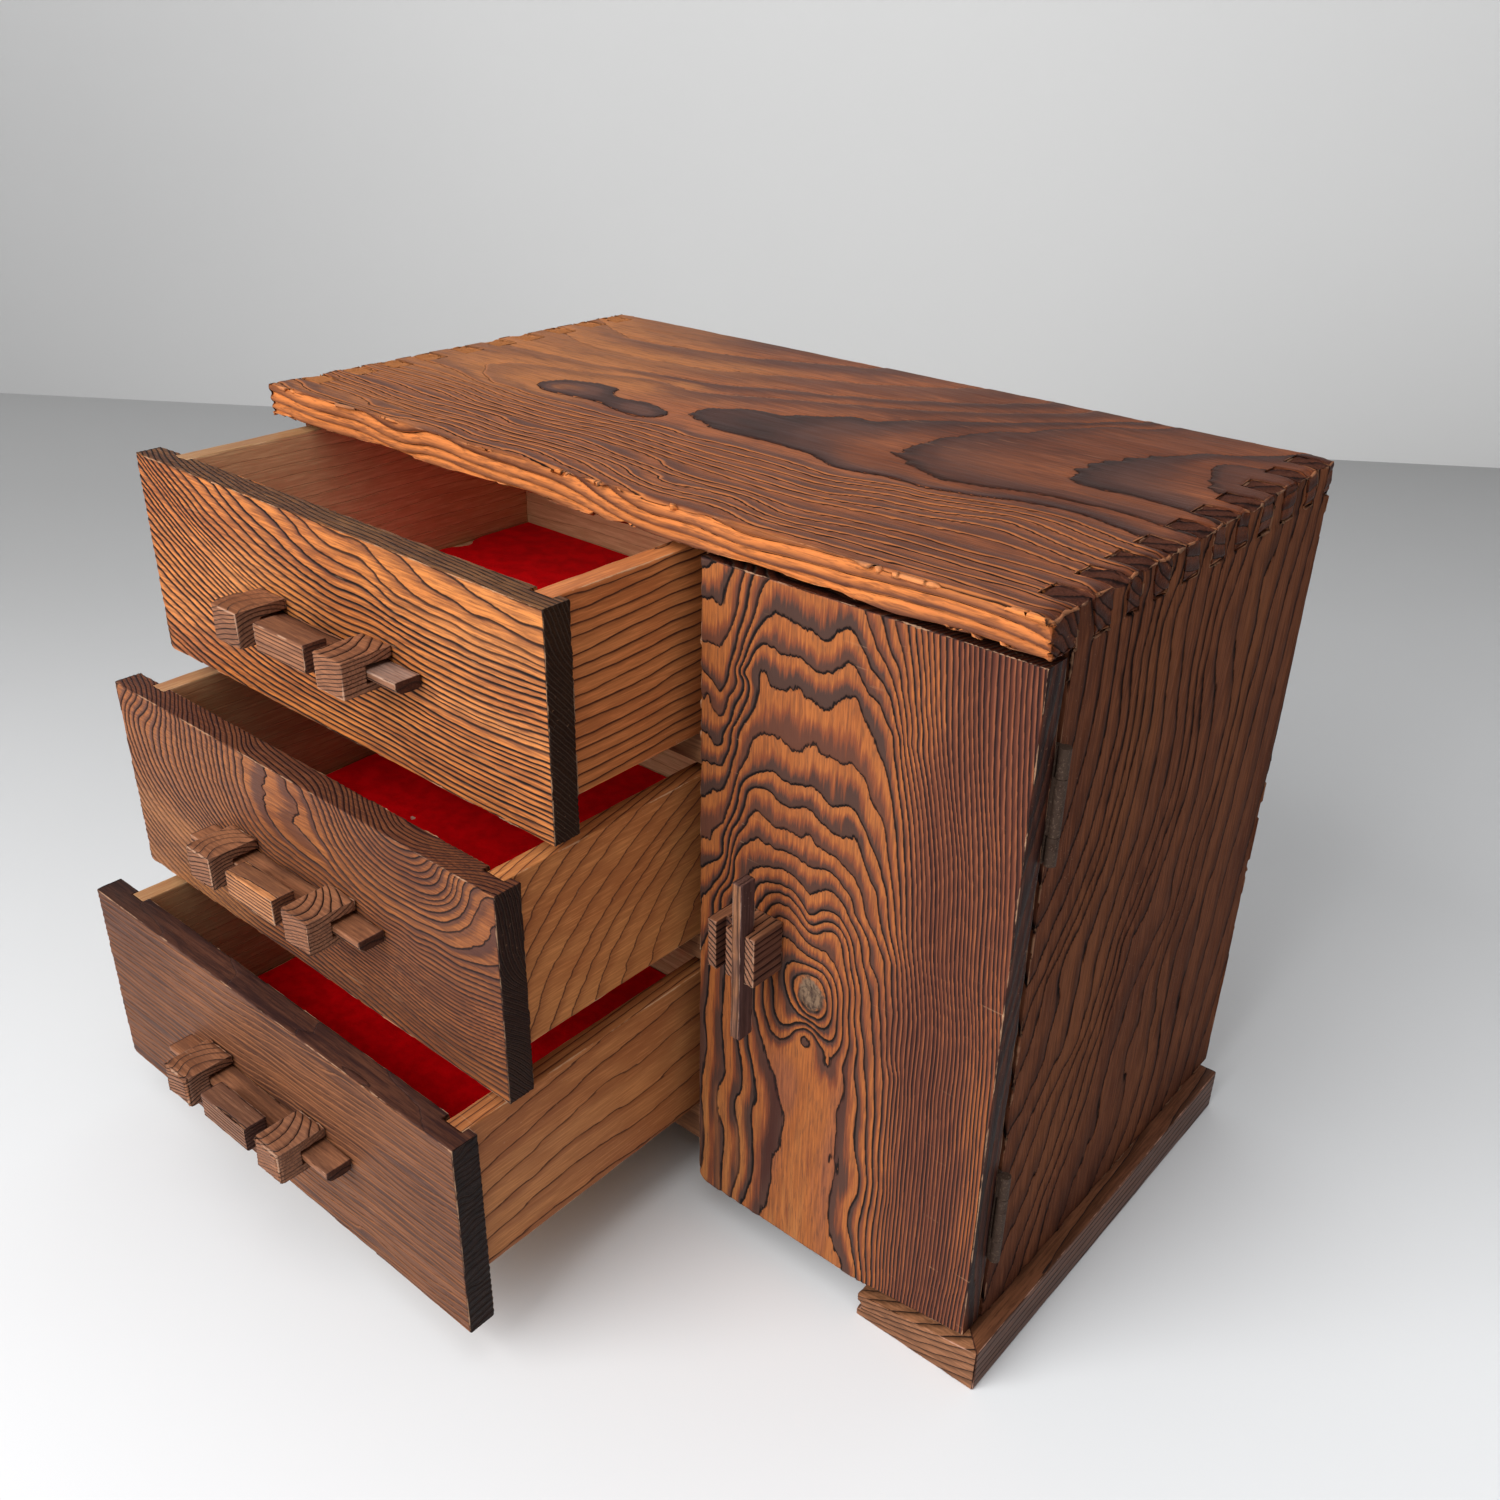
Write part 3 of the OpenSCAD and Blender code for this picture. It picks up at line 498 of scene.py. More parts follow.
# a board's tone: 0 is plain, -1 the paler golden wood, below that nearly ringless, 1 shaded and 2 charred
# early, deep and late are the wood's colours, line its grooves'; late runs from lateFrom to lateTo in a ring
def woodFinish(name, along, early, deep, late, line, lateFrom=0.45, lateTo=0.9, lineWidth=0.45,
               feather=0.25, contrast=1.0, gloss=0.5, golden=(0.42, 0.17, 0.055), worn=(0.5, 0.29, 0.17),
               wornAmount=0.5, bump=0.7, dashes=0.4, fibres=0.5, scratches=0.25, ragged=3.0, shine=0.1,
               crestHighlight=None, accent=None, shaded=(0.5, 0.5, 0.66), charred=(0.2, 0.2, 0.22), knot=False,
               widen=0.0, teeth=1.2, fringe=None, ruddy=None, streaky=0.0, crestHighlightAmount=0.55):
    f = Finish(name)
    at = f.where()

    def woodGrain(kind, drawn):
        scale, *rest = woodNoise[kind]
        return f.noise(at, scale, [woodStretch[drawn] if n == along else 1.0 for n in range(3)], *rest)

    fibre, streak = woodGrain("fibre", "thread"), woodGrain("streak", "thread")
    broad, patch, torn = [woodGrain(kind, "loose") for kind in ("broad", "patch", "torn")]
    dash = woodGrain("dash", "dash")
    tone = f.value("tone")
    pale = f.step(tone, 0.0, -1.0)
    shade = f.step(tone, 0.0, 1.0)
    char = f.step(tone, 1.0, 2.0)
    pace = f.value("pace").math("MAXIMUM", 0.02)
    years = f.value("years") + (torn - 0.5) * (pace * ragged).math("MINIMUM", 0.13)
    years = years + (fibre - 0.5) * (pace * teeth).math("MINIMUM", 0.058 * teeth)
    if teeth > 1.2:
        years = years + (streak - 0.5) * (pace * teeth).math("MINIMUM", 0.05 * teeth)
    t = years.math("FRACT")
    each = f.node("ShaderNodeTexWhiteNoise", {"noise_dimensions": "1D"}, {1: years.math("FLOOR") * 0.37})
    frayed = (streak - 0.5) * feather + (fibre - 0.5) * (feather * 0.8)
    soft = t + frayed * f.step(pace, 0.2, 0.45, 1.0, 0.3) + shade * widen
    calm = (f.step(tone, -0.25, -1.0) * -0.5 + 1.0) * f.step(tone, -1.2, -1.6, 1.0, 0.15)
    band = f.step(soft, lateFrom, lateTo) * (each * 0.45 + 0.62) * calm * contrast
    fine = pace.math("MINIMUM", 0.38)
    rise = f.step((1.0 - t).math("DIVIDE", fine), lineWidth * 0.4, lineWidth * 1.5, 1.0, 0.0)
    fall = f.step(t.math("DIVIDE", fine), lineWidth * 0.15, lineWidth * 0.6, 1.0, 0.0)
    groove = rise.math("MAXIMUM", fall) * calm * (each * 0.3 + 0.8) * (shade * -0.2 + 1.0)
    groove = groove * min(1.0, contrast + 0.2)
    base = f.mix(early, deep, f.step(broad * 0.6 + patch * 0.4, 0.38, 0.64))
    base = f.mix(base, golden, pale * 0.85)
    if accent:
        base = f.mix(base, accent[1], f.value(accent[0]) * 0.85)
    dark = late
    if ruddy:
        base = f.mix(base, ruddy[0], shade * 0.75)
        dark = f.mix(late, ruddy[1], shade)
    if streaky:
        long = woodGrain("long", "thread")
        base = f.mix(base, tuple(min(1.0, c * 1.4) for c in early), f.step(long, 0.5, 0.36) * streaky)
        base = f.mix(base, late, f.step(long, 0.5, 0.62) * streaky)
    base = f.mix(base, late, f.step(fibre, 0.44, 0.66) * fibres)
    base = f.mix(base, late, f.step(dash, 0.55, 0.7) * dashes)
    base = f.mix(base, tuple(min(1.0, c * 1.5) for c in early), f.step(fibre, 0.5, 0.34) * 0.35)
    if fringe:
        base = f.mix(base, fringe, f.step(soft, lateFrom - 0.2, lateFrom + 0.05) * calm * 0.85)
    colour = f.mix(base, dark, band)
    # a strip of the crest colour along each ring's ridge just before its groove: painted highlight on the
    # ridges, over the wood's own orange
    if crestHighlight:
        strip = f.step((1.0 - t).math("DIVIDE", pace), lineWidth * 1.5, lineWidth * 4.0, 1.0, 0.0)
        colour = f.mix(colour, crestHighlight, strip * calm * f.step(tone, 0.98, 0.85) * crestHighlightAmount)
    colour = f.mix(colour, line, groove)
    colour = f.mix(colour, shaded, shade, "MULTIPLY")
    colour = f.mix(colour, charred, char, "MULTIPLY")
    colour = f.mix(colour, grooveChar, groove * char * 0.55)
    if knot:
        near = f.value("knot")
        crack, swirl = woodGrain("crack", "split"), woodGrain("swirl", "even")
        centre = f.mix(*knotColours, f.step(crack * 0.6 + swirl * 0.4, 0.44, 0.6))
        colour = f.mix(colour, centre, f.step(near + (crack - 0.5) * 0.6 + (swirl - 0.5) * 0.7, 0.36, 0.62))
    if scratches:
        turned = f.node("ShaderNodeMapping", {}, {0: at, 2: scratchLook["turn"], 3: scratchLook["stretch"]})
        sockets = {"Vector": turned, "Scale": scratchLook["scale"], "Detail": 1.0}
        hair = f.step(f.node("ShaderNodeTexNoise", {}, sockets), *scratchLook["few"])
        colour = f.mix(colour, worn, hair * f.step(broad, 0.48, 0.62) * scratches)
    rub = f.step(f.value("edge") + (woodGrain("rub", "even") - 0.5) * 0.9, 0.6, 0.85) * wornAmount
    colour = f.mix(colour, worn, rub)
    height = band * 0.4 - groove + (fibre - 0.5) * 0.5 + (dash - 0.5) * 0.15
    rough = band * -0.08 + groove * 0.25 + (streak - 0.5) * 0.2 + gloss
    return f.out(Base_Color=colour, Roughness=rough, Specular_IOR_Level=shine, bump=(height, bump, 0.0004))


print("makers ready")

# door: cathedral arches over a knot, straight tight grain along the hinge side
doorLines = {
    -4: [(0, 240), (4, 243), (8, 240), (11, 244), (14, 257), (80, 250), (84, 235), (96, 200), (105, 150)],
    -3: [(0, 229), (5, 229), (9, 226), (12, 236), (16, 252), (76, 250), (80, 240), (84, 225), (93, 200),
        (102.5, 150)],
    -2: [(0, 220), (4, 218), (8, 214), (11, 218), (15, 233), (20, 254), (71, 250), (77, 238), (81, 222),
        (90.5, 200), (100, 150)],
    -1: [(0, 210), (4, 212), (9, 206), (12, 214), (16, 228), (21, 243), (27, 258), (45, 259), (58, 262),
        (66, 251), (73, 241), (79, 224), (88, 200), (97.5, 150), (104, 100)],
    0: [(0, 198), (5, 198), (9.5, 196), (13, 205), (18, 222), (23, 240), (28, 246), (38, 247), (46, 245),
        (50, 245), (55, 250), (60, 250), (66, 241), (73, 234), (78, 222), (85, 200), (95, 150),
        (101, 100), (101, 0)],
    1: [(0, 186), (6, 188), (10, 188), (14, 204), (18, 224), (22, 232), (28, 236), (33, 235), (38, 236),
        (45, 234), (51, 234), (57, 238), (60, 240), (65, 233), (72, 226), (77, 213), (81.5, 200),
        (92.5, 150), (99, 100), (99, 0)],
    2: [(0, 173), (6, 178), (10, 179), (14, 192), (19, 207), (24, 218), (29, 223), (34, 224), (38, 227),
        (42, 224), (46, 225), (50, 222), (54, 224), (58, 228), (61, 229), (65, 224), (70, 216), (75, 206),
        (78, 199), (85, 175), (90, 150), (96.5, 100), (97, 0)],
    3: [(0, 162), (6, 167), (10, 167), (14, 180), (20, 199), (24, 206), (28, 210), (33, 210), (37, 207),
        (41, 210), (47, 211), (51, 209), (57, 209), (60, 212), (64, 209), (70, 200), (76, 190), (82, 170),
        (87, 150), (94, 100), (95, 0)],
    4: [(0, 148), (6, 151), (10, 155), (15, 173), (22, 190), (27, 194), (31, 196), (35, 194), (43, 195),
        (50, 197), (53, 194), (56, 192), (59, 195), (62, 198), (66, 190), (71, 183), (76, 173), (80, 162),
        (84, 150), (91, 100), (93, 0)],
    5: [(0, 134), (5, 139), (9, 146), (14, 166), (20, 183), (25, 187), (29, 188), (34, 186), (38, 185),
        (42, 187), (47, 188), (51, 185), (56, 183), (59, 184), (61, 188), (65, 184), (69, 176), (74, 167),
        (80.5, 150), (88, 110), (90, 60), (90.5, 0)],
    6: [(0, 110), (6, 126), (11, 143), (15, 160), (21, 173), (27, 177), (32, 175), (37, 176), (43, 175),
        (47, 177), (51, 174), (59, 173), (63, 170), (69, 160), (75, 149), (80, 143), (84, 125), (87, 100),
        (88, 50), (88.5, 0)],
    7: [(1, 0), (2.5, 40), (4, 85), (7, 110), (11, 138), (16, 154), (22, 162), (29, 164), (36, 165),
        (41, 165), (45, 163), (54, 165), (60, 163), (65, 155), (72, 140), (77, 125), (81, 105), (84, 80),
        (85, 40), (86, 0)],
    8: [(12, 0), (13, 30), (13, 60), (12, 90), (14, 125), (18, 142), (23, 151), (28, 156), (38, 159),
        (43, 157), (48, 154), (52, 157), (57, 159), (62, 156), (69, 142), (74, 125), (78, 105), (81, 80),
        (82.5, 40), (83.5, 0)],
    9: [(16, 0), (16.5, 50), (18, 76), (17, 100), (19, 130), (26, 150), (31, 153), (37, 154), (42, 153),
        (48, 148), (52, 151), (57, 153), (61, 152), (67, 140), (71, 120), (74, 100), (77, 80), (80, 50),
        (81, 0)],
    10: [(22, 0), (26, 35), (27, 55), (23, 78), (21, 95), (22, 120), (27, 142), (33, 149), (39, 150),
        (44, 147), (49, 143), (53, 146), (57, 148), (61, 147), (65, 137), (68, 115), (70, 90), (72, 72),
        (74, 52), (72, 30), (74, 12), (77, 0)],
    11.1: [(52, 80), (50, 86), (47, 90), (50, 60), (50, 35), (49, 12), (47, 0)],
    11: [(33, 0), (37, 15), (42, 36), (46, 55), (50, 75), (52, 88), (50, 99), (46, 97), (43, 90),
        (38, 82), (35, 78), (31, 84), (28, 93), (26.5, 110), (28, 132), (34, 144), (40, 145), (45, 141),
        (50, 139), (54, 142), (58, 144), (61, 141), (65, 125), (66, 108), (64, 92), (60, 75), (58, 50),
        (57, 30), (58, 12), (60, 0)],
    12: [(30, 115), (31, 100), (35, 91), (40, 92), (45, 99), (31, 130), (36, 140), (42, 139), (47, 133),
        (52, 131), (57, 131), (61, 126), (62.5, 112), (61, 98), (58, 90)],
    13: [(34, 116), (35, 103), (38, 98), (42, 100), (44, 108), (34, 127), (39, 132), (44, 125), (55, 122),
        (58, 120), (59, 110), (57, 102)],
}


# heel: cut up at the lower right over the plinth; corner: the rounded one; close: rings tighten to the right
doorLook = dict(heel=6.5, heelLong=45, corner=4.5, knotAt=(50, 0, 116), knotSize=(5.8, 7.6),
                knotPull=(8.5, 11.5), knotRings=(3.4, 0.9), closeFrom=74, closeUp=0.34, closeOver=14,
                relief=0.24, worn=0.7)


def doorTone(points, low, high, years):
    u, v = points[:, 0] - low[0], points[:, 2] - low[2]
    red = smooth(74, 98, u + 6 * noise(points, 30.0, 21))  # redder towards the hinges
    # the open field below the knot, with scorched streaks in it
    plain = smooth(90, 35, v) * smooth(80, 60, u)
    smoky = np.exp(-((u - 38) / 7) ** 2 - ((v - 74) / 14) ** 2)
    smoky += 0.8 * np.exp(-((u - 27 - 0.21 * v) / 6) ** 2) * smooth(95, 60, v)
    smoky += 0.8 * np.exp(-((u - 58 - 0.08 * v) / 5) ** 2) * smooth(108, 92, v)
    smoky = np.clip(smoky * (0.9 + 0.4 * noise(points * [1, 1, 0.2], 5.0, 24)), 0, 1)
    # the hinge edge is rubbed bare low down
    bare = smooth(108, 118, u) * smooth(220, 60, v) * (0.5 + noise(points * [1, 1, 0.3], 7.0, 23))
    streaks = noise(points * [1, 1, 0.12], 3.2, 25) + 0.6 * noise(points * [1, 1, 0.1], 1.6, 26)
    shade = -0.9 * bare + 0.85 * red + plain * (1 - smoky) * (0.55 * streaks - 0.45) + 0.75 * smoky
    shade += 0.25 * noise(points * [1, 1, 0.4], 16.0, 22)
    return np.where(points[:, 0] > high[0] - 0.5, 1.8, np.clip(shade, -1, 0.95))


def doorShape(points, low, high):
    u, v = points[:, 0], points[:, 2] - low[2]
    heel = doorLook["heel"] * np.clip((u - (high[0] - doorLook["heelLong"])) / doorLook["heelLong"], 0, 1)
    turn = doorLook["corner"]
    left = np.clip(turn - (u - low[0]), 0, turn)
    lift = heel + turn - np.sqrt(turn ** 2 - np.clip(left, 0, turn - 1e-3) ** 2)
    points[:, 2] += lift * (1 - smooth(0, 40, v))
    return points


doorFinish = woodFinish("door_brushed_wood", 2, early=(0.32, 0.101, 0.028), deep=(0.25, 0.072, 0.022),
                        late=(0.06, 0.031, 0.024), line=(0.008, 0.006, 0.006), lateFrom=0.48, lateTo=0.76,
                        lineWidth=0.6, knot=True, gloss=0.55, golden=(0.4, 0.155, 0.046),
                        shaded=(0.7, 0.71, 0.76), charred=(0.26, 0.2, 0.18), feather=0.5, wornAmount=0.6,
                        teeth=2.6, widen=0.16, fringe=(0.17, 0.046, 0.022),
                        ruddy=((0.34, 0.112, 0.056), (0.056, 0.018, 0.014)), fibres=0.35)
doorDrawn = drawnGrain("front", doorLines, 2, deepYears=0.16, waver=0.3, seed=31)


def nearKnot(points, low, high, size=doorLook["knotSize"]):
    at = low + doorLook["knotAt"]
    return np.exp(-((points[:, 0] - at[0]) / size[0]) ** 2 - ((points[:, 2] - at[2]) / size[1]) ** 2)


def doorGrain(points, low, high):
    close = np.clip(points[:, 0] - low[0] - doorLook["closeFrom"], 0, None)
    rings, uneven = doorLook["knotRings"]
    knot = (rings + uneven * noise(points, 9.0, 33)) * nearKnot(points, low, high, doorLook["knotPull"])
    tight = doorLook["closeUp"] * close ** 2 / (close + doorLook["closeOver"])
    return doorDrawn(points, low, high) + knot - tight


doorGrain.along = 2
# endTone 2.0 chars the door's top and bottom end faces fully: charred end grain, and partly painted shade for
# the shadow line under the top board
makeBoard("door_panel", "door", "burnt_wood", doorFinish, "front", doorGrain, pitch=0.7,
          relief=doorLook["relief"], worn=doorLook["worn"], shape=doorShape, tone=doorTone, endTone=2.0,
          extra={"knot": nearKnot})
print("door panel made")

# the case's joinery: ceiling is the top board's underside, innerDeep the back panel's front
case = dict(wide=350, deep=182.5, ceiling=273.5, high=286, board=12.5, inner=12, plinth=18.3, divider=219,
            innerDeep=177.5, housing=4, rebate=6.5, topReach=12.9, pins=10, pinWide=9, pinFirst=5.6,
            pinPitch=18.5, pinStray=0.9)
pinMids = [case["pinFirst"] + case["pinPitch"] * i + case["pinStray"] * math.sin(math.radians(100 * i))
           for i in range(case["pins"])]
wallX = case["wide"] - case["board"]
shelfTops = [nodeBox("shelf_upper")[1][2], nodeBox("shelf_lower")[1][2]]
bottomTop = nodeBox("bottom_board")[1][2]


def pinBoxes(x, low, high):
    half = case["pinWide"] / 2
    return [((x, y - half, low), (x + case["board"], y + half, high)) for y in pinMids]


# top board: flame figure at the back right, tight dark lines towards the front
topLines = {
    0: [(150, 90), (153, 95), (160, 99), (166, 101), (172, 95), (178, 94), (186, 103), (192, 115),
        (198, 121), (206, 120), (212, 128), (220, 138), (236, 150), (250, 163), (265, 178), (280, 193),
        (152, 86), (170, 90), (185, 87), (195, 78), (215, 74), (228, 69), (245, 71), (262, 70), (280, 74),
        (300, 81), (325, 79), (350, 73)],
    -1: [(290, 193), (270, 176), (258, 158), (255, 150), (246, 142), (240, 128), (236, 108), (240, 97),
        (250, 89), (260, 84), (268, 83), (282, 87), (300, 91), (325, 92), (350, 88)],
    -2: [(335, 193), (320, 176), (306, 163), (296, 155), (289, 143), (284, 130), (285, 118), (291, 108),
        (300, 105), (325, 106), (350, 102)],
    -3: [(322, 165), (318, 158), (322, 148), (325, 135), (332, 127), (350, 120)],
    0.3: [(108, 98), (140, 85), (112, 88), (68, 75), (147, 72)],
    -0.14: [(92, 76), (84, 72), (99, 78), (131, 71), (126, 71), (137, 70)],
    1: [(105, 110), (130, 108), (150, 118), (170, 128), (190, 138), (215, 152), (240, 172), (258, 193),
        (60, 64), (100, 60), (140, 61), (170, 61), (200, 63), (235, 61), (260, 66), (280, 69), (300, 74),
        (340, 67)],
    1.5: [(20, 80)],
    2: [(20, 110), (70, 113), (100, 120), (120, 122), (140, 131), (165, 141), (190, 153), (215, 170),
        (235, 190)],
    3: [(10, 150), (60, 138), (90, 140), (120, 150), (150, 163), (180, 178), (200, 193)],
    4: [(5, 180), (40, 163), (80, 166), (120, 178), (150, 193), (0, 50), (60, 50), (140, 47), (200, 47),
        (260, 52), (300, 60), (350, 50)],
    8: [(0, 33), (60, 30), (140, 29), (200, 29), (260, 31), (300, 34), (350, 27)],
    11: [(0, 18), (100, 15), (200, 15), (260, 17), (300, 20), (350, 13)],
    14: [(0, 1), (100, 0), (200, 0), (260, 2), (300, 4), (350, -2)],
}
# waves of the hand-worked front edge are height, length and shift in degrees
topLook = dict(ledge=1.3, relief=0.2, wander=0.5, waves=((0.6, 97, 35), (0.4, 43, 110)), waveDeep=0.7)


def topLedges(points):
    return topLook["ledge"] * smooth(1.0, 0.0, points[:, 1] + case["topReach"])


def topWorn(points):
    return 0.8 + smooth(332, 346, points[:, 0]) + 0.7 * smooth(18, 4, points[:, 0])


def topTone(points, low, high, years):
    x, y, z = points.T
    front = smooth(1.0, 0.0, y + case["topReach"])  # the sawn front edge, with its own tone
    golden = smooth(190, 40, x + 16 * noise(points, 40.0, 41)) * (0.6 + 0.4 * smooth(25, 70, y))
    dark = 0.55 * smooth(150, 240, x + 10 * noise(points, 30.0, 44)) * smooth(30, 80, y)
    flame = 1.5 * smooth(0.7, 0.98, years - np.floor(years)) * smooth(0.3, 0.0, years) * smooth(35, 50, y)
    shade = 0.1 + dark - golden + 0.3 * noise(points * [0.3, 1, 1], 18.0, 42)
    edge = -0.3 + 0.7 * smooth(0.5, 0.95, noise(points * [0.1, 1, 1], 3.2, 43)) + 0.3 * smooth(300, 345, x)
    rubbed = np.exp(-((x - 120) / 8) ** 2 - ((y - 102) / 3) ** 2)  # a pale spot beside the small eye
    shade += 0.9 * smooth(338, 349, x)
    shade = np.clip(shade - rubbed, -1, 0.9) * (1 - 0.8 * np.clip(flame, 0, 1)) + flame
    return shade * (1 - front) + edge * front


def topShape(points, low, high):
    x = points[:, 0]
    wave = sum(tall * np.sin(math.tau * x / long + math.radians(shift))
               for tall, long, shift in topLook["waves"])
    reach = topLook["waveDeep"] * (wave - 1)
    front = smooth(6, 0, points[:, 1] - low[1])
    points[:, 1] -= reach * smooth(case["deep"] * 0.3, 0, points[:, 1] - low[1])
    rise = topLook["wander"] * (0.5 + 0.5 * noise(points[:, :1], 38.0, 54))
    rise = rise * smooth(5, 0, points[:, 2] - low[2])
    points[:, 2] += rise * front
    points[:, 1] += 0.7 * rise * front
    return roundEnd(points, low, high)


# both rows of pins are cut unevenly by hand, and the right end is rubbed round and chipped
pinWear = dict(uneven=(0.9, 0.8), unevenSize=(7.5, 6.5), rubbed=(0.4, 0.5), chipped=(0.8, 1.3),
               chipSize=(4.0, 5.5))


def roundEnd(points, low, high):
    x, y, z = spots = points.T.copy()
    joint = np.maximum(smooth(wallX - 3, wallX, x), smooth(case["board"] + 3, case["board"], x))
    joint = joint * smooth(case["ceiling"] - 1, case["ceiling"] + 1, z)
    for axis, seed in ((1, 59), (0, 60)):
        points[:, axis] += pinWear["uneven"][axis] * joint * noise(spots.T, pinWear["unevenSize"][axis], seed)
    near = smooth(5.0, 0.0, case["wide"] - points[:, 0])
    near = near * smooth(case["ceiling"] - 2, case["high"], points[:, 2])
    for axis, seed in ((2, 57), (0, 58)):
        rubbed, chipped, size = [pinWear[key][axis // 2] for key in ("rubbed", "chipped", "chipSize")]
        points[:, axis] -= near * (rubbed + chipped * np.clip(noise(points, size, seed), 0, 1))
    return points


topFinish = woodFinish("top_brushed_wood", 0, early=(0.31, 0.096, 0.035), deep=(0.19, 0.058, 0.025),
                       late=(0.095, 0.034, 0.021), line=(0.01, 0.006, 0.006), lateFrom=0.1, lateTo=0.75,
                       lineWidth=0.4, gloss=0.5, scratches=0.4, shine=0.045, golden=(0.44, 0.165, 0.05),
                       crestHighlight=(0.52, 0.17, 0.05), worn=(0.6, 0.26, 0.12), wornAmount=0.35,
                       accent=("front", (0.78, 0.25, 0.062)), shaded=(0.5, 0.44, 0.46),
                       charred=(0.2, 0.19, 0.19), crestHighlightAmount=0.75)
topCuts = [((a[0] - 1, a[1], a[2]), b) for a, b in pinBoxes(0, case["ceiling"] - 1, 300)]
topCuts += [(a, (b[0] + 1, b[1], b[2])) for a, b in pinBoxes(wallX, case["ceiling"] - 1, 300)]
topCuts += [((case["divider"], 0, 270),
             (case["divider"] + case["inner"], case["innerDeep"], case["ceiling"] + 3))]
topDrawn = drawnGrain("top", topLines, 0, deepYears=0.15, waver=0.15, seed=51)


def topGrain(points, low, high):
    x, near = points[:, :1], smooth(75, 0, points[:, 1] + case["topReach"])
    drift = 1.3 * noise(x, 75.0, 52) + 0.5 * noise(x, 26.0, 53) + 0.5 * noise(points * [0.25, 1, 0], 7.0, 55)
    return topDrawn(points, low, high) + near * (drift - 0.013 * (points[:, 0] - case["wide"] / 2))


def topFront(points, low, high):
    return smooth(0.8, -0.2, points[:, 1] + case["topReach"])


topGrain.along = 0
makeBoard("top_board", "case", "burnt_wood", topFinish, "top", topGrain, pitch=1.0,
          relief=topLook["relief"], worn=topWorn, cuts=topCuts, tone=topTone, shape=topShape, endTone=1.25,
          wallPitch=0.6, ledges=topLedges, extra={"front": topFront})

# right side panel: broad bands that lean forward as they fall, shown as distance back and height
sideRows = [
    [(29, 260), (30, 240), (29, 220), (24, 200), (15, 180), (5, 168), (0, 163)],
    [(36, 260), (37, 240), (38, 220), (34, 200), (26, 180), (14, 163), (5, 150), (0, 145)],
    [(44, 260), (41, 240), (41, 200), (36, 180), (25, 160), (12, 143), (0, 128)],
    [(52, 260), (49, 245), (48, 200), (43, 180), (32, 160), (15, 140), (8, 120), (2, 110)],
    [(62, 260), (56, 245), (55, 200), (50, 180), (45, 165), (30, 145), (27, 125), (22, 110), (20, 100),
        (12, 90), (4, 85)],
    [(70, 260), (62, 245), (64, 220), (65, 205), (62, 185), (56, 165), (47, 145), (40, 115), (37, 100),
        (25, 88), (15, 75), (8, 62)],
    [(78, 262), (72, 245), (73, 230), (76, 210), (76, 190), (72, 170), (62, 150), (55, 130), (52, 110),
        (48, 95), (36, 85), (28, 75), (20, 60), (10, 48)],
    [(88, 262), (82, 240), (84, 220), (88, 200), (87, 180), (80, 160), (70, 140), (62, 120), (57, 105),
        (50, 90), (40, 75), (35, 60), (28, 45), (20, 35)],
    [(97, 262), (92, 240), (94, 200), (95, 180), (88, 160), (78, 140), (68, 120), (64, 105), (57, 90),
        (50, 75), (45, 60), (30, 30)],
    [(101, 250), (97, 220), (101, 200), (102, 180), (96, 160), (85, 140), (73, 122), (70, 105), (66, 90),
        (60, 78), (50, 50), (38, 30)],
    [(112, 250), (105, 225), (104, 215), (108, 200), (111, 180), (106, 160), (98, 140), (88, 122),
        (78, 105), (72, 90), (62, 50)],
    [(122, 250), (112, 230), (118, 205), (120, 180), (116, 150), (112, 120), (100, 105), (92, 95),
        (88, 80), (80, 40)],
    [(130, 250), (125, 225), (130, 205), (134, 190), (130, 160), (122, 140), (118, 120), (110, 105),
        (101, 90), (95, 60), (98, 30)],
    [(150, 250), (145, 220), (143, 190), (139, 160), (132, 140), (128, 120), (122, 105), (115, 90),
        (117, 70), (118, 50)],
    [(165, 250), (158, 220), (152, 190), (148, 160), (143, 130), (138, 110), (130, 90), (128, 60)],
    [(180, 250), (172, 220), (168, 190), (162, 160), (158, 130), (152, 110), (148, 80), (145, 50)],
    [(190, 250), (185, 200), (180, 150), (172, 110), (168, 80), (160, 40)],
]
# reach: what a drawn distance back is worth; left: how the other panel's figure is shifted and stretched
sideLook = dict(reach=0.936, relief=0.45, worn=0.9, leftFrom=(182.5, -6), leftBy=(-0.9, 1.04))
sideLines = {n: [(sideLook["reach"] * u, v) for u, v in row] for n, row in enumerate(sideRows)}
(leftU, leftV), (byU, byV) = sideLook["leftFrom"], sideLook["leftBy"]
leftLines = {n: [(leftU + byU * u, leftV + byV * v) for u, v in row] for n, row in sideLines.items()}


def sideTone(points, low, high, years):
    foot = smooth(60, 22, points[:, 2])
    return 0.35 * foot + 0.3 * noise(points * [1, 0.6, 0.2], 16.0, 61) + 0.25 * smooth(30, 0, points[:, 1])


# dark colours for both side boards: their own burnt wood, and on the right side, turned from the lamps,
# partly painted shade
sideFinish = woodFinish("side_brushed_wood", 2, early=(0.165, 0.056, 0.025), deep=(0.11, 0.035, 0.017),
                        late=(0.05, 0.017, 0.01), line=(0.006, 0.003, 0.003), lateFrom=0.35, lateTo=1.0,
                        lineWidth=1.7, feather=0.3, gloss=0.75, shine=0.04, bump=1.0,
                        golden=(0.45, 0.17, 0.055), worn=(0.36, 0.19, 0.11), fibres=0.3, dashes=0.25)


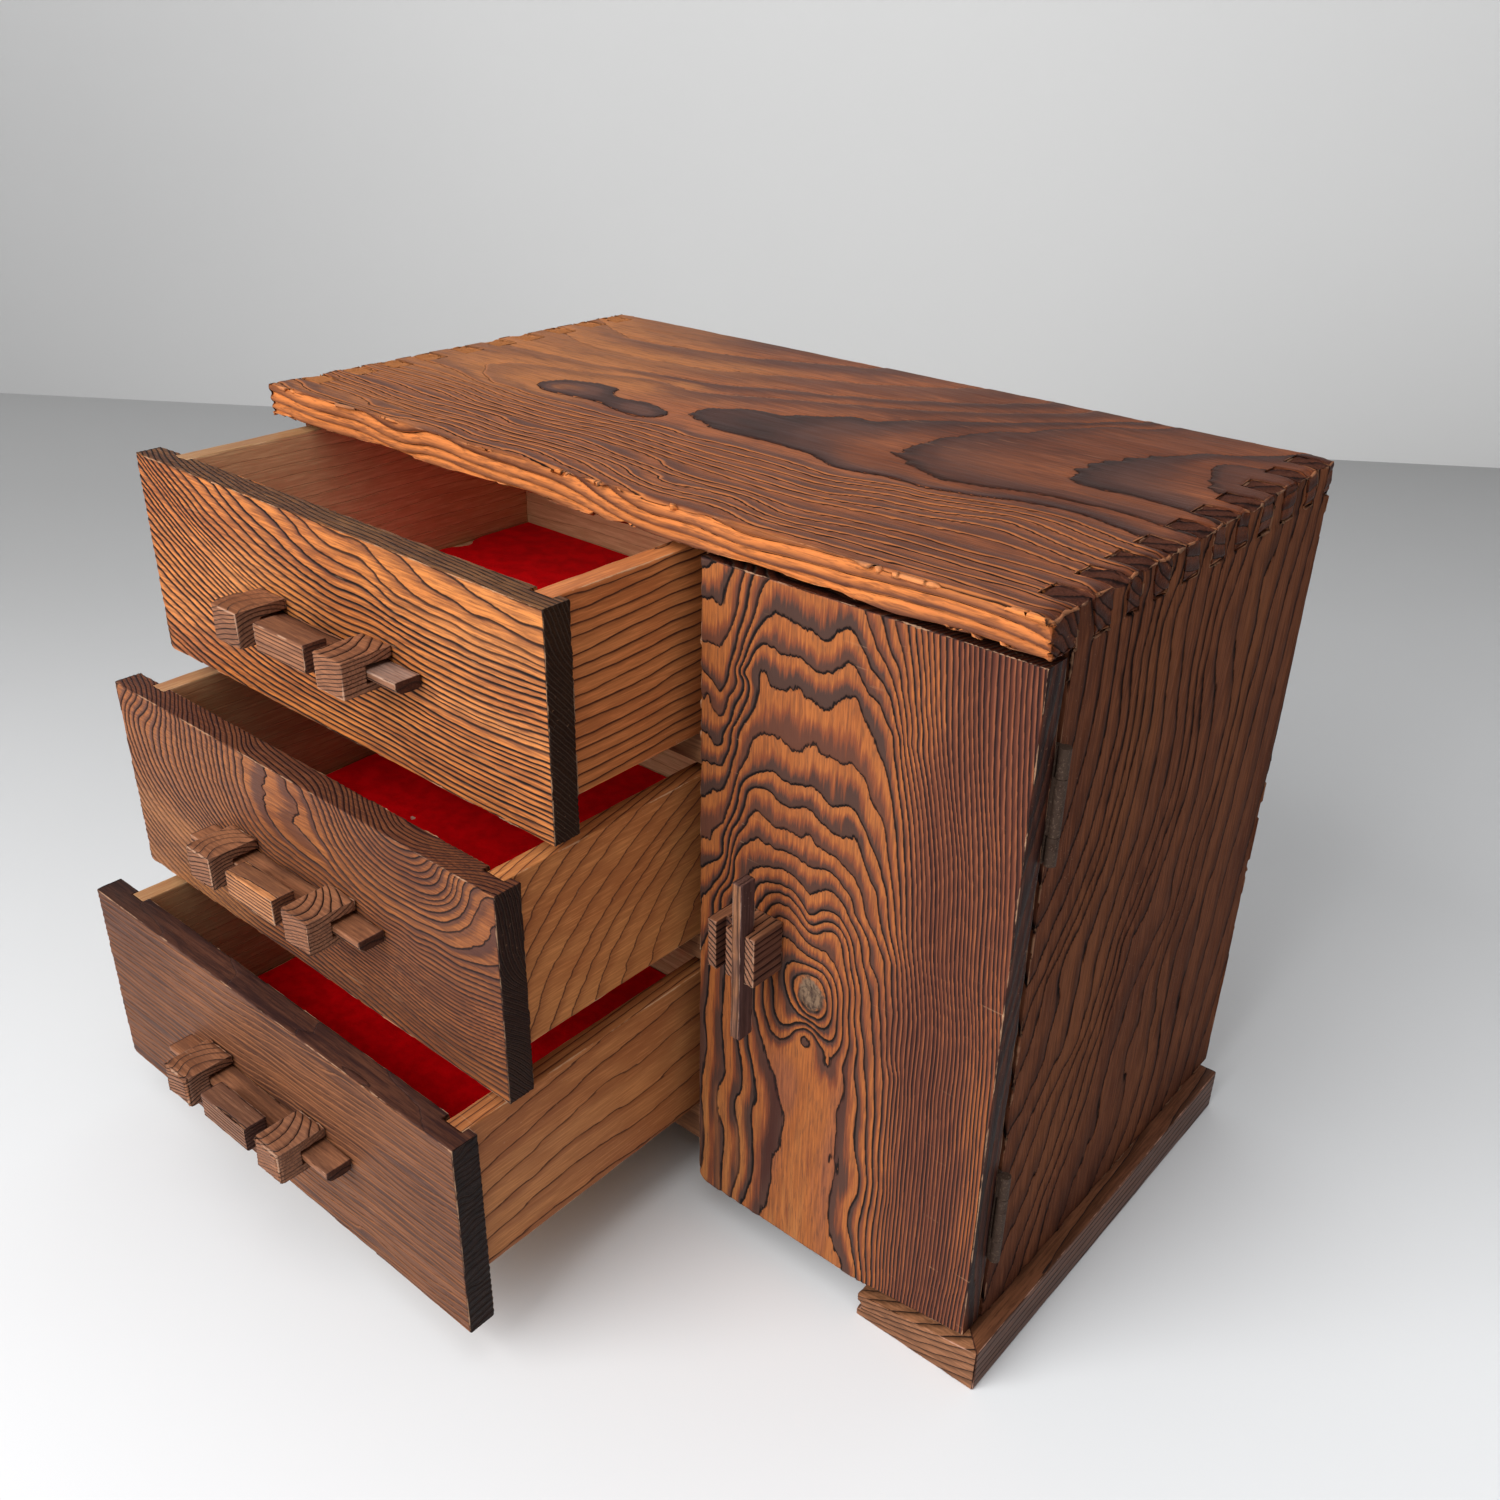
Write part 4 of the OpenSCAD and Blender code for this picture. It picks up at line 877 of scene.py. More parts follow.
def sideBoard(node, x, face, grain, pitch):
    inner = x + case["board"] if x == 0 else x
    main = ((x, 0, case["plinth"]), (x + case["board"], case["deep"], case["ceiling"]))
    cut = [((inner - case["rebate"], case["innerDeep"], 0), (inner + case["rebate"], 200, case["ceiling"])),
           ((inner - case["housing"], -1, 0), (inner + case["housing"], case["innerDeep"], bottomTop))]
    if x == 0:
        cut += [((inner - case["housing"], -1, top - case["inner"]), (inner + 1, case["innerDeep"], top))
                for top in shelfTops]
    pins = pinBoxes(x, case["ceiling"], case["high"] - 0.3)
    makeBoard(node, "case", "burnt_wood", sideFinish, face, grain, pitch=pitch, relief=sideLook["relief"],
              worn=sideLook["worn"], cuts=cut, tone=sideTone, adds=[main, *pins],
              endTone=-1.6 if x == 0 else 1.15, shape=roundEnd)


for node, x, face, lines, seed, pitch in (("side_panel_right", wallX, "right", sideLines, 71, 0.9),
                                          ("side_panel_left", 0, "left", leftLines, 75, 1.1)):
    sideBoard(node, x, face, drawnGrain(face, lines, 2, deepYears=0.1, bow=0, seed=seed), pitch)
print("top and sides made")

# boards inside the case and its back: plain planed wood, kept dark as painted shade of the case's inside seen
# between the drawers
planedWood = dict(early=(0.24, 0.11, 0.052), deep=(0.175, 0.074, 0.035), late=(0.11, 0.047, 0.025),
                  line=(0.07, 0.032, 0.018), lateFrom=0.4, lateTo=0.95, lineWidth=0.3, contrast=0.7,
                  gloss=0.55, bump=0.25, wornAmount=0.25)
innerFinish = {axis: woodFinish("inner_planed_wood_" + "xyz"[axis], axis, **planedWood) for axis in (0, 2)}
mid = case["divider"]
housings = {
    "divider": [((mid - 1, -1, top - case["inner"]), (mid + case["housing"], 200, top)) for top in shelfTops],
    "bottom_board": [((mid, -1, bottomTop - 3), (mid + case["inner"], 200, 50))]}
innerBoards = {  # face, axis along the grain, pith and ring spacing
    "divider": ("right", 2, (-40, 60), 5.5), "bottom_board": ("top", 0, (60, -35), 6.0),
    "shelf_upper": ("top", 0, (90, -60), 6.5), "shelf_lower": ("top", 0, (40, -50), 5.5)}
for node, (face, along, pith, spacing) in innerBoards.items():
    grain = plainGrain(along, pith, spacing, seed=80 + along)
    makeBoard(node, "case", "inner_wood", innerFinish[along], face, grain, pitch=1.6, relief=0.05, worn=0.4,
              cuts=housings.get(node, ()))


def backShape(points, low, high):
    points[:, 1] = np.minimum(points[:, 1], high[1] - 0.15)
    return points


makeBoard("back_panel", "case", "inner_wood", innerFinish[0], "back",
          plainGrain(0, (-60, 130), 7.0, seed=90, lean=0.03), pitch=1.3, relief=0.06, worn=0.4,
          shape=backShape)

# plinth: smoother brown wood, mitred and tapered feet at the front; notch: its reach, height and radius
plinthLook = dict(footLong=50, endHigh=10, rail=20, reach=14.4, notch=(0.8, 5.2, 2.5))
plinthTints = {0: (0.27, 0.115, 0.055), 1: (0.16, 0.06, 0.03)}
plinthFinish = {}
for axis, tint in plinthTints.items():
    plinthFinish[axis] = woodFinish("plinth_wood_" + "xyz"[axis], axis, early=tint,
                                    deep=tuple(0.65 * c for c in tint), late=tuple(0.35 * c for c in tint),
                                    line=(0.025, 0.013, 0.01), lateFrom=0.45, lateTo=0.95, lineWidth=0.3,
                                    contrast=0.8, gloss=0.42, bump=0.3, worn=(0.46, 0.25, 0.18),
                                    wornAmount=0.7)


def railShape(points, low, high):
    out = points[:, 0] - low[0] if low[0] < 0 else high[0] - points[:, 0]
    back = points[:, 1] - low[1]
    long = high[1] - low[1]
    points[:, 1] = low[1] + out + back * (long - out) / long
    return points


def footShape(points, low, high):
    left = low[0] < 0
    x = points[:, 0] - low[0] if left else high[0] - points[:, 0]
    y, z = points[:, 1] - low[1], points[:, 2].copy()
    out, at, radius = plinthLook["notch"]
    full = (x < plinthLook["rail"] + 0.01) & (y > plinthLook["reach"] - 0.01)
    top = case["plinth"] - (case["plinth"] - plinthLook["endHigh"]) * x / plinthLook["footLong"]
    z = np.where(full, z, z * top / case["plinth"])
    bite = np.sqrt(np.clip(radius ** 2 - (z - at) ** 2, 0, None)) - out
    long = plinthLook["footLong"] - np.clip(bite, 0, None)
    x = x * long / plinthLook["footLong"]
    x = y + x * (long - y) / long
    points[:, 0] = low[0] + x if left else high[0] - x
    points[:, 2] = z
    return points


for side in ("left", "right"):
    makeBoard("plinth_rail_" + side, "case", "plinth_wood", plinthFinish[1], side,
              plainGrain(1, (30, -30), 3.2, seed=95, lean=0.04), pitch=0.8, relief=0.06, worn=0.8,
              shape=railShape, coarse=2)
    makeBoard("plinth_foot_" + side, "case", "plinth_wood", plinthFinish[0], "front",
              plainGrain(0, (-20, -24), 2.6, sway=2, seed=97, lean=0.32), pitch=0.5, relief=0.08, worn=0.9,
              shape=footShape, coarse=1, endTone=0.4)
makeBoard("plinth_rail_back", "case", "plinth_wood", plinthFinish[0], "back",
          plainGrain(0, (20, -40), 3.4, seed=99), pitch=1.2, relief=0.06, worn=0.8)
print("inner boards, back and plinth made")

# drawers: each front has its own figure; years rise towards the upper right
topFrontLines = {
    -3: [(0, 22), (30, 12), (60, 6), (100, 3.5), (140, 2.5), (222, 1.5)],
    0: [(0, 36), (20, 27), (40, 20), (60, 15), (80, 12), (100, 10.5), (140, 9), (222, 8)],
    10: [(0, 72), (20, 59), (40, 49), (60, 41), (80, 36), (100, 33), (140, 31), (222, 30)],
    15: [(12, 79), (20, 74), (40, 62), (60, 54), (80, 48), (100, 45), (140, 43), (222, 41)],
    20: [(50, 79), (60, 73), (80, 64), (100, 58), (120, 55), (150, 53), (222, 52)],
    23: [(90, 79), (100, 73), (120, 67), (150, 61), (180, 59), (222, 58.5)],
    25: [(140, 79), (150, 73), (170, 67), (190, 65), (222, 64)],
    26: [(160, 79), (175, 73), (190, 70), (222, 69)],
    27: [(185, 79), (200, 75), (222, 74)],
}
middleFrontLines = {
    0: [(97, 80), (94, 72), (96, 62), (102, 56), (112, 53), (125, 51.5), (140, 48), (160, 45), (180, 44),
        (200, 45), (222, 50)],
    1: [(118, 79), (122, 70), (126, 64), (134, 58), (142, 52), (150, 49.5), (165, 47.5), (180, 47.5),
        (200, 49), (215, 54), (222, 59)],
    2: [(128, 79), (131, 70), (137, 62), (147, 56), (158, 53), (172, 52), (188, 53), (202, 57), (212, 65),
        (218, 75)],
    3: [(133, 79), (136, 71), (142, 64), (151, 59), (163, 56.5), (178, 56.5), (192, 58), (203, 64),
        (209, 72), (212, 79)],
    4: [(138, 79), (141, 72), (147, 66), (156, 62), (168, 60), (180, 60), (191, 62), (200, 67), (205, 73),
        (207, 79)],
    6: [(146, 79), (150, 73), (157, 69), (168, 66), (180, 66), (190, 68), (197, 73), (200, 79)],
    8: [(155, 79), (160, 75), (168, 72), (178, 72), (187, 74), (193, 79)],
    10: [(166, 79), (175, 77.5), (183, 79)],
    -1: [(84, 80), (83, 70), (85, 60), (91, 53), (100, 49.5), (115, 48), (135, 45.5), (160, 42.5),
        (185, 42), (222, 46)],
    -3: [(75, 80), (74, 68), (76, 58), (83, 49), (95, 44.5), (115, 43), (140, 41), (170, 38.5), (222, 41)],
    -6: [(61, 80), (60, 66), (63, 55), (71, 46), (85, 40), (115, 37), (160, 33), (222, 34)],
    -9: [(46, 80), (44, 64), (48, 52), (56, 43), (70, 37), (90, 33), (130, 29), (222, 27)],
    -12: [(33, 80), (26, 64), (30, 50), (38, 42), (52, 35), (75, 29), (110, 25), (222, 20)],
    -14: [(24, 80), (14, 70), (14, 58), (18, 48), (28, 40), (45, 32), (75, 24), (120, 19), (222, 14)],
    -16: [(12, 78), (4, 66), (5, 55), (10, 44), (20, 35), (40, 26), (75, 17), (222, 7)],
}
middleSideLines = {
    0: [(150, 0), (158, 9), (166, 13)],
    2: [(120, 0), (130, 14), (145, 24), (166, 30)],
    4: [(92, 0), (100, 14), (115, 28), (135, 38), (166, 44)],
    6: [(65, 0), (72, 14), (85, 28), (105, 42), (130, 52), (166, 58)],
    8: [(38, 0), (45, 14), (58, 28), (75, 42), (100, 56), (130, 66)],
    10: [(12, 0), (20, 14), (32, 28), (48, 42), (70, 56), (90, 67)],
    12: [(0, 12), (8, 28), (22, 42), (40, 56), (58, 67)],
    14: [(0, 38), (12, 54), (28, 67)],
}
bottomSideLines = {
    0: [(0, 2), (60, 4), (120, 2), (166, 6)],
    1: [(0, 10), (40, 14), (80, 13), (120, 16), (166, 18)],
    2: [(0, 19), (40, 25), (80, 24), (120, 28), (166, 31)],
    3: [(0, 29), (40, 36), (80, 38), (120, 42), (166, 45)],
    4: [(0, 40), (30, 46), (60, 52), (100, 56), (166, 60)],
    5: [(0, 52), (30, 58), (60, 62)],
}
fineFront = woodFinish("front_fine_wood", 0, early=(0.52, 0.175, 0.042), deep=(0.36, 0.105, 0.028),
                       late=(0.1, 0.032, 0.018), line=(0.006, 0.004, 0.004), lateFrom=0.4, lateTo=1.0,
                       lineWidth=0.58, feather=0.35, golden=(0.62, 0.25, 0.08), shaded=(0.28, 0.36, 0.55))
# darker than the top drawer's front: the middle front's own wood, and partly painted shade of the lower row
boldFront = woodFinish("front_bold_wood", 0, early=(0.29, 0.1, 0.032), deep=(0.19, 0.058, 0.021),
                       late=(0.072, 0.028, 0.02), line=(0.02, 0.011, 0.01), lateFrom=0.36, lateTo=0.72,
                       lineWidth=0.45, feather=0.35, contrast=0.85, golden=(0.36, 0.15, 0.055))
# dark colours for the bottom front: its own wood, and partly painted shade of the lowest row
darkFrontWithPaintedShade = woodFinish("front_dark_wood_with_painted_shade", 0, early=(0.165, 0.063, 0.028), deep=(0.11, 0.043, 0.023),
                       late=(0.045, 0.02, 0.016), line=(0.022, 0.011, 0.009), lateFrom=0.2, lateTo=1.0,
                       lineWidth=0.28, feather=0.7, contrast=0.4, fibres=0.6, golden=(0.085, 0.043, 0.026),
                       crestHighlight=(0.3, 0.11, 0.04), streaky=0.65)
boxWood = dict(shaded=(0.42, 0.34, 0.28), feather=0.2, gloss=0.5, bump=0.35, worn=(0.62, 0.4, 0.24),
               wornAmount=0.6, dashes=0.2, scratches=0.15, fibres=0.3, golden=(0.56, 0.26, 0.1))
boxTints = {
    "top": dict(early=(0.54, 0.192, 0.062), deep=(0.42, 0.128, 0.04), line=(0.06, 0.02, 0.011),
                contrast=0.9),
    "middle": dict(early=(0.52, 0.212, 0.07), deep=(0.4, 0.14, 0.045), line=(0.1, 0.034, 0.017),
                   contrast=0.75),
    "bottom": dict(early=(0.46, 0.19, 0.066), deep=(0.35, 0.126, 0.044), line=(0.085, 0.03, 0.016),
                   contrast=0.75)}
boxOuter = {}
for level, tints in boxTints.items():
    boxOuter[level] = woodFinish("drawer_side_wood_" + level, 1, late=(0.25, 0.08, 0.028), lateFrom=0.5,
                                 lateTo=1.0, lineWidth=0.45, **tints, **boxWood)
# the drawers' inner wood is pale: painted light, brightening the dim insides of the boxes
innerWoodPaintedLight = dict(early=(0.78, 0.49, 0.26), deep=(0.7, 0.41, 0.21), late=(0.5, 0.22, 0.1),
                 line=(0.3, 0.12, 0.06), lateFrom=0.6, lateTo=1.0, lineWidth=0.25, contrast=0.3, **boxWood)
pullWood = dict(early=(0.27, 0.112, 0.054), deep=(0.18, 0.07, 0.034), late=(0.07, 0.03, 0.02),
                line=(0.014, 0.009, 0.008), lateFrom=0.6, lateTo=0.95, lineWidth=0.3, fibres=0.35,
                contrast=0.85, gloss=0.45, bump=0.6, golden=(0.36, 0.25, 0.2), worn=(0.5, 0.3, 0.2),
                wornAmount=0.55, ragged=1.2)
boxInnerPaintedLight = {axis: woodFinish("drawer_inner_wood_" + "xyz"[axis], axis, **innerWoodPaintedLight) for axis in (0, 1)}
pullFinish = {axis: woodFinish("pull_wood_" + "xyz"[axis], axis, **pullWood) for axis in (0, 1)}
blockTints = {"top": (0.34, 0.14, 0.065), "middle": (0.52, 0.215, 0.085), "bottom": (0.27, 0.12, 0.065)}
blockFinish = {}
for level, tint in blockTints.items():
    blockFinish[level] = woodFinish("pull_block_wood_" + level, 0, early=tint,
                                    deep=tuple(0.7 * c for c in tint), late=(0.1, 0.042, 0.026),
                                    line=(0.03, 0.015, 0.011), lateFrom=0.45, lateTo=0.9, lineWidth=0.22,
                                    contrast=0.8, worn=(0.55, 0.34, 0.22), ragged=1.2)


# bite: torn out of the top one's left edge; crumb: stuck on the middle one
# the felt's red is set very high: painted light, lifting felt that lies in the boxes' shade
feltLook = dict(red=(0.92, 0.0, 0.004), worn=(0.7, 0.0, 0.003), nap=(0.98, 0.004, 0.01),
                pale=(0.75, 0.45, 0.35), sag=0.2, biteAt=57.0, biteHalf=6.0, biteDeep=3.5,
                crumb=(80.0, -24.0), crumbHalf=(2.2, 1.6))


def makeFelt():
    f = Finish("red_felt_cloth")
    at = f.where()
    nap = f.noise(at, 900.0, (1, 1, 1), 4.0, 0.65)
    clump = f.noise(at, 120.0, (1, 1, 1), 3.0, 0.6, 4.0)
    colour = f.mix(feltLook["red"], feltLook["worn"], f.step(clump, 0.3, 0.7))
    colour = f.mix(colour, feltLook["nap"], f.step(nap, 0.55, 0.75) * 0.5)
    colour = f.mix(colour, feltLook["pale"], f.step(f.value("crumb") + (nap - 0.5) * 0.6, 0.55, 0.7))
    return f.out(Base_Color=colour, Roughness=0.95, Sheen_Weight=0.015, Sheen_Roughness=0.5,
                 Specular_IOR_Level=0.02, bump=(nap + clump * 0.6, 0.6, 0.0006))


feltFinish = makeFelt()


def feltShape(torn):
    def shape(points, low, high):
        x, y, z = points.T
        sag = feltLook["sag"] * (0.5 + 0.5 * noise(points[:, :2], 14.0, 33))
        points[:, 2] = np.where(z > low[2] + 0.2, z - sag, z)
        curl = 0.5 * noise(points[:, 1:2], 11.0, 34)
        points[:, 0] += np.where(x < low[0] + 2, 0.4 + curl, 0) + np.where(x > high[0] - 2, -0.4 - curl, 0)
        if torn:
            bite = feltLook["biteDeep"] * np.exp(-((y - feltLook["biteAt"]) / feltLook["biteHalf"]) ** 2)
            points[:, 0] += bite * (1 + 0.4 * noise(points[:, 1:2], 2.5, 38)) * smooth(10, 0, x - low[0])
        return points
    return shape


def feltCrumb(points, low, high):
    (across, back), (wide, deep) = feltLook["crumb"], feltLook["crumbHalf"]
    return np.exp(-((points[:, 0] - across) / wide) ** 2 - ((points[:, 1] - back) / deep) ** 2)


# the box behind each front and its housings; nick: beside its right side; bevel: under the pull's bar
drawerLook = dict(boxLeft=14, boxRight=217.5, boxThick=8, housing=3, bottom=4, nickWide=1.8, nickDeep=6,
                  corner=2.5, bevel=1.8)


def cornerShape(points, low, high):
    turn = drawerLook["corner"]
    left = np.clip(turn - (points[:, 0] - low[0]), 0, turn - 1e-3)
    lift = turn - np.sqrt(turn ** 2 - left ** 2)
    points[:, 2] += lift * smooth(25, 0, points[:, 2] - low[2])
    return points


def barShape(points, low, high):
    bevel = drawerLook["bevel"]
    under = np.clip((low[2] + bevel - points[:, 2]) / bevel, 0, 1)
    points[:, 1] += bevel * under * (high[1] - points[:, 1]) / (high[1] - low[1])
    return points


def barTone(points, low, high, years):
    rubbed = smooth(high[0] - 24, high[0] - 16, points[:, 0])
    rubbed = rubbed * smooth(high[2] - 0.6, high[2] - 0.2, points[:, 2])
    return 0.3 * noise(points * [0.2, 1.6, 1.6], 14.0, 12) - rubbed


def frontTone(points, low, high, years):
    x, y, z = points.T
    top = smooth(high[2] - 0.5, high[2] - 0.1, z)  # the darkened upper edge
    golden = np.exp(-((x - 60) / 55) ** 2 - ((z - low[2] - 38) / 22) ** 2)
    shade = -0.4 * golden - 0.4 * smooth(120, 190, x) + 0.3 * noise(points * [0.15, 1, 1], 9.0, 35)
    shade = shade + 0.3 * smooth(low[0] + 6, low[0], x)
    return shade * (1 - top) + 0.9 * top


def calmTone(points, low, high, years):
    x, y, z = points.T
    top = smooth(high[2] - 0.5, high[2] - 0.1, z)
    calm = smooth(110, 50, x) * smooth(55, 25, z - low[2])  # paler at the lower left
    shade = -0.75 * calm + 0.3 * noise(points * [0.15, 1, 1], 9.0, 36) + 0.25 * smooth(120, 200, x)
    return shade * (1 - top) + top


# the calm tone held back from paleness, and darker towards the front's left end: painted shade
def leftPaintedShadeTone(points, low, high, years):
    return np.maximum(calmTone(points, low, high, years), -0.15) + 0.5 * smooth(95, 15, points[:, 0] - low[0])


# painted shade: the middle and bottom boxes' inner faces darker, and every box's rims and outer faces darker
# to take back the pale inner wood's painted light
def innerPaintedShade(top):
    def tone(points, low, high, years):
        rim = smooth(high[2] - 0.4, high[2] - 0.1, points[:, 2])
        outer = smooth(low[0] + 0.5, low[0] + 0.1, points[:, 0])
        shade = (0.0 if top else 0.55) * (1 - rim) + 0.78 * rim
        return shade * (1 - outer) + 0.85 * outer + 0.2 * noise(points * [1, 0.2, 1], 12.0, 37)
    return tone


# lift: from the front's lower edge to the box; ringHigh: the height of the rings' middle in the right post
drawers = {
    "top": dict(
        finish=fineFront, tone=frontTone, lift=10.6, torn=True, ringHigh=60, postWorn=0.7,
        grain=drawnGrain("front", topFrontLines, 0, deepYears=0.5, waver=0.35, seed=101),
        side=plainGrain(1, (4, -150), 4.7, sway=5, swayLength=45, waver=0.3, lean=0.05, seed=133)),
    "middle": dict(
        finish=boldFront, tone=calmTone, lift=14.3, torn=False, ringHigh=30, postWorn=1.3,
        grain=drawnGrain("front", {1.35 * n: line for n, line in middleFrontLines.items()}, 0, deepYears=0.5,
                         waver=0.35, seed=111),
        side=drawnGrain("right", middleSideLines, 1, seed=136)),
    "bottom": dict(
        finish=darkFrontWithPaintedShade, tone=leftPaintedShadeTone, lift=18.5, torn=False, ringHigh=48, postWorn=1.9,
        grain=plainGrain(0, (20, -120), 2.9, sway=9, swayLength=110, waver=0.6, seed=121, lean=0.05),
        side=drawnGrain("right", bottomSideLines, 1, seed=138)),
}
for level, look in drawers.items():
    body, start = level + "_drawer", "drawer_" + level + "_"
    low, high = nodeBox(start + "front")
    d, rise = drawerLook, low[2] + look["lift"]
    back = high[1]
    sides = [(d["boxLeft"], d["boxLeft"] + d["boxThick"]), (d["boxRight"] - d["boxThick"], d["boxRight"])]
    cut = [((x0, back - d["housing"], rise), (x1, back + 1, high[2] + 1)) for x0, x1 in sides]
    nick = sides[1][0]
    cut += [((nick - d["nickWide"], back - d["housing"], high[2] - d["nickDeep"]),
             (nick + 2, back + 1, high[2] + 1))]
    makeBoard(start + "front", body, "burnt_wood", look["finish"], "front", look["grain"], pitch=0.7,
              relief=0.16, worn=0.7, cuts=cut, shape=cornerShape, tone=look["tone"], endTone=2.0)
    depth = nodeBox(start + "side_right")[1][1]
    hidden = plainGrain(1, (4, -150), 4.7, seed=145)
    for side, inner, finish, grain, tone in (  # inner: where the side's inside face stands
            ("left", sides[0][1], boxInnerPaintedLight[1], hidden, innerPaintedShade(level == "top")),
            ("right", sides[1][0], boxOuter[level], look["side"], None)):
        cut = [((inner - d["bottom"], back, rise - 1), (inner + d["bottom"], depth + 1, rise + d["bottom"])),
               ((inner - d["housing"], depth - d["boxThick"], rise - 1),
                (inner + d["housing"], depth + 1, high[2] - 3))]
        makeBoard(start + "side_" + side, body, "drawer_wood", finish, "right", grain, pitch=1.0, relief=0.05,
                  worn=0.5, cuts=cut, endTone=0.3, tone=tone)
    makeBoard(start + "back", body, "drawer_wood", boxInnerPaintedLight[0], "front",
              plainGrain(0, (10, -60), 6.0, seed=140), pitch=1.4, relief=0.04, worn=0.5)
    makeBoard(start + "bottom", body, "drawer_wood", boxInnerPaintedLight[0], "top",
              plainGrain(0, (60, -40), 6.0, seed=141), pitch=1.6, relief=0.04, worn=0.2)
    felt = makeBoard(start + "felt", body, "red_felt", feltFinish, "top",
                     plainGrain(0, (0, -90), 30.0, seed=142), pitch=1.6, relief=0.0, worn=0.35,
                     wallPitch=0.4, coarse=2, shape=feltShape(look["torn"]), tag="_cloth",
                     extra={"crumb": feltCrumb} if level == "middle" else None)
    start + "bottom_wood"
    # pull: a bar caught in two notched posts, and a block over its middle
    grain = plainGrain(0, (3, -14), 2.4, sway=2, seed=150 + len(level))
    makeBoard(start + "pull_bar", body, "burnt_wood", pullFinish[0], "front", grain, pitch=0.5, coarse=1,
              relief=0.1, worn=0.8, shape=barShape, endTone=1.5, tone=barTone if level == "top" else None)
    barLow, barHigh = nodeBox(start + "pull_bar")
    notch = [((0, barLow[1], barLow[2]), (300, barHigh[1] + 1, barHigh[2] + 1.7))]
    for side, pith in (("left", (9, -16)), ("right", (5, look["ringHigh"]))):
        grain = plainGrain(0, pith, 1.5, sway=1.5, swayLength=20, waver=0.15, seed=160 + len(level), lean=0.3)
        makeBoard(start + "pull_post_" + side, body, "burnt_wood", pullFinish[0], "front", grain, pitch=0.4,
                  coarse=1, relief=0.12, worn=look["postWorn"], cuts=notch, endTone=-0.3, wallPitch=0.5)
    grain = plainGrain(0, (5, -12), 1.5, sway=1.5, seed=170)
    makeBoard(start + "pull_block", body, "burnt_wood", blockFinish[level], "front", grain, pitch=0.4,
              coarse=1, relief=0.12, worn=0.8, endTone=1.2, wallPitch=0.5)
    print(level, "drawer made")

# the door's pull: a three-fingered block with a bar standing in its right slot
low, high = nodeBox("door_pull_block")
grip = dict(finger=4, slot=4.2, slotDeep=5.3)
step = grip["finger"] + grip["slot"]
slots = [((low[0] + grip["finger"] + i * step, low[1] - 1, 0),
          (low[0] + (i + 1) * step, low[1] + grip["slotDeep"], 300)) for i in (0, 1)]


def gripBlockTone(points, low, high, years):
    return np.where(points[:, 2] > high[2] - 0.4, 0.2, 0.95)


def gripBarTone(points, low, high, years):
    return np.where(points[:, 0] > high[0] - 0.4, 1.1, -0.2 + 0.4 * noise(points, 5.0, 183))


makeBoard("door_pull_block", "door", "burnt_wood", pullFinish[1], "front",
          plainGrain(1, (-16, -22), 2.0, sway=0.6, waver=0.15, seed=181), pitch=0.35, coarse=1, relief=0.16,
          worn=0.6, cuts=slots, endTone=-0.3, wallPitch=0.5, tone=gripBlockTone)
gripFinish = woodFinish("pull_grip_wood", 2, early=(0.2, 0.1, 0.065), deep=(0.14, 0.066, 0.043),
                        late=(0.08, 0.04, 0.028), line=(0.035, 0.018, 0.014), lateFrom=0.4, lineWidth=0.3,
                        contrast=0.35, gloss=0.55, bump=0.9, fibres=0.6, worn=(0.36, 0.22, 0.16),
                        wornAmount=0.6, scratches=0.5)
makeBoard("door_pull_bar", "door", "burnt_wood", gripFinish, "front",
          plainGrain(2, (-30, 3), 2.6, sway=1.2, seed=182), pitch=0.35, coarse=1, relief=0.12, worn=0.7,
          endTone=0.6, wallPitch=0.5, tone=gripBarTone)
print("door pull made")


# aged iron for the hinges, screws, nails and the catch's plate; brown moulded plastic for the catch
ironLook = dict(plain=(0.055, 0.033, 0.023), rust=(0.03, 0.015, 0.01), rubbed=(0.15, 0.098, 0.072))
plasticLook = dict(dark=(0.085, 0.045, 0.028), light=(0.12, 0.065, 0.04))


def makeIron():
    f = Finish("aged_iron_metal")
    at = f.where()
    grime = f.noise(at, 260.0, (1, 1, 1), 4.0, 0.65)
    fine = f.noise(at, 1400.0, (1, 1, 1), 3.0, 0.6, 4.0)
    rust = f.step(grime + (fine - 0.5) * 0.5, 0.5, 0.7)
    colour = f.mix(ironLook["plain"], ironLook["rust"], rust)
    colour = f.mix(colour, ironLook["rubbed"], f.step(fine, 0.54, 0.66) * 0.6)
    rough = rust * 0.2 + 0.65 + (fine - 0.5) * 0.3
    return f.out(Base_Color=colour, Metallic=rust * -0.3 + 0.35, Roughness=rough, Specular_IOR_Level=0.15,
                 bump=(grime + fine * 0.6, 0.7, 0.0004))


def makePlastic():
    f = Finish("catch_moulded_plastic")
    at = f.where()
    grain = f.noise(at, 2200.0, (1, 1, 1), 2.0, 0.5)
    cloud = f.noise(at, 90.0, (1, 1, 1), 3.0, 0.5, 6.0)
    colour = f.mix(plasticLook["dark"], plasticLook["light"], f.step(cloud, 0.35, 0.7))
    return f.out(Base_Color=colour, Roughness=cloud * 0.15 + 0.35, bump=(grain, 0.15, 0.0001))


ironFinish, plasticFinish = makeIron(), makePlastic()
ironWords = ("hinge", "nail", "screw", "catch_plate")
ironNodes = [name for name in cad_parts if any(word in name for word in ironWords)]
for name in ironNodes + ["catch_block"]:
    for slot in bpy.data.objects[name].material_slots:
        slot.material = plasticFinish if name == "catch_block" else ironFinish
print("metal and plastic finished")

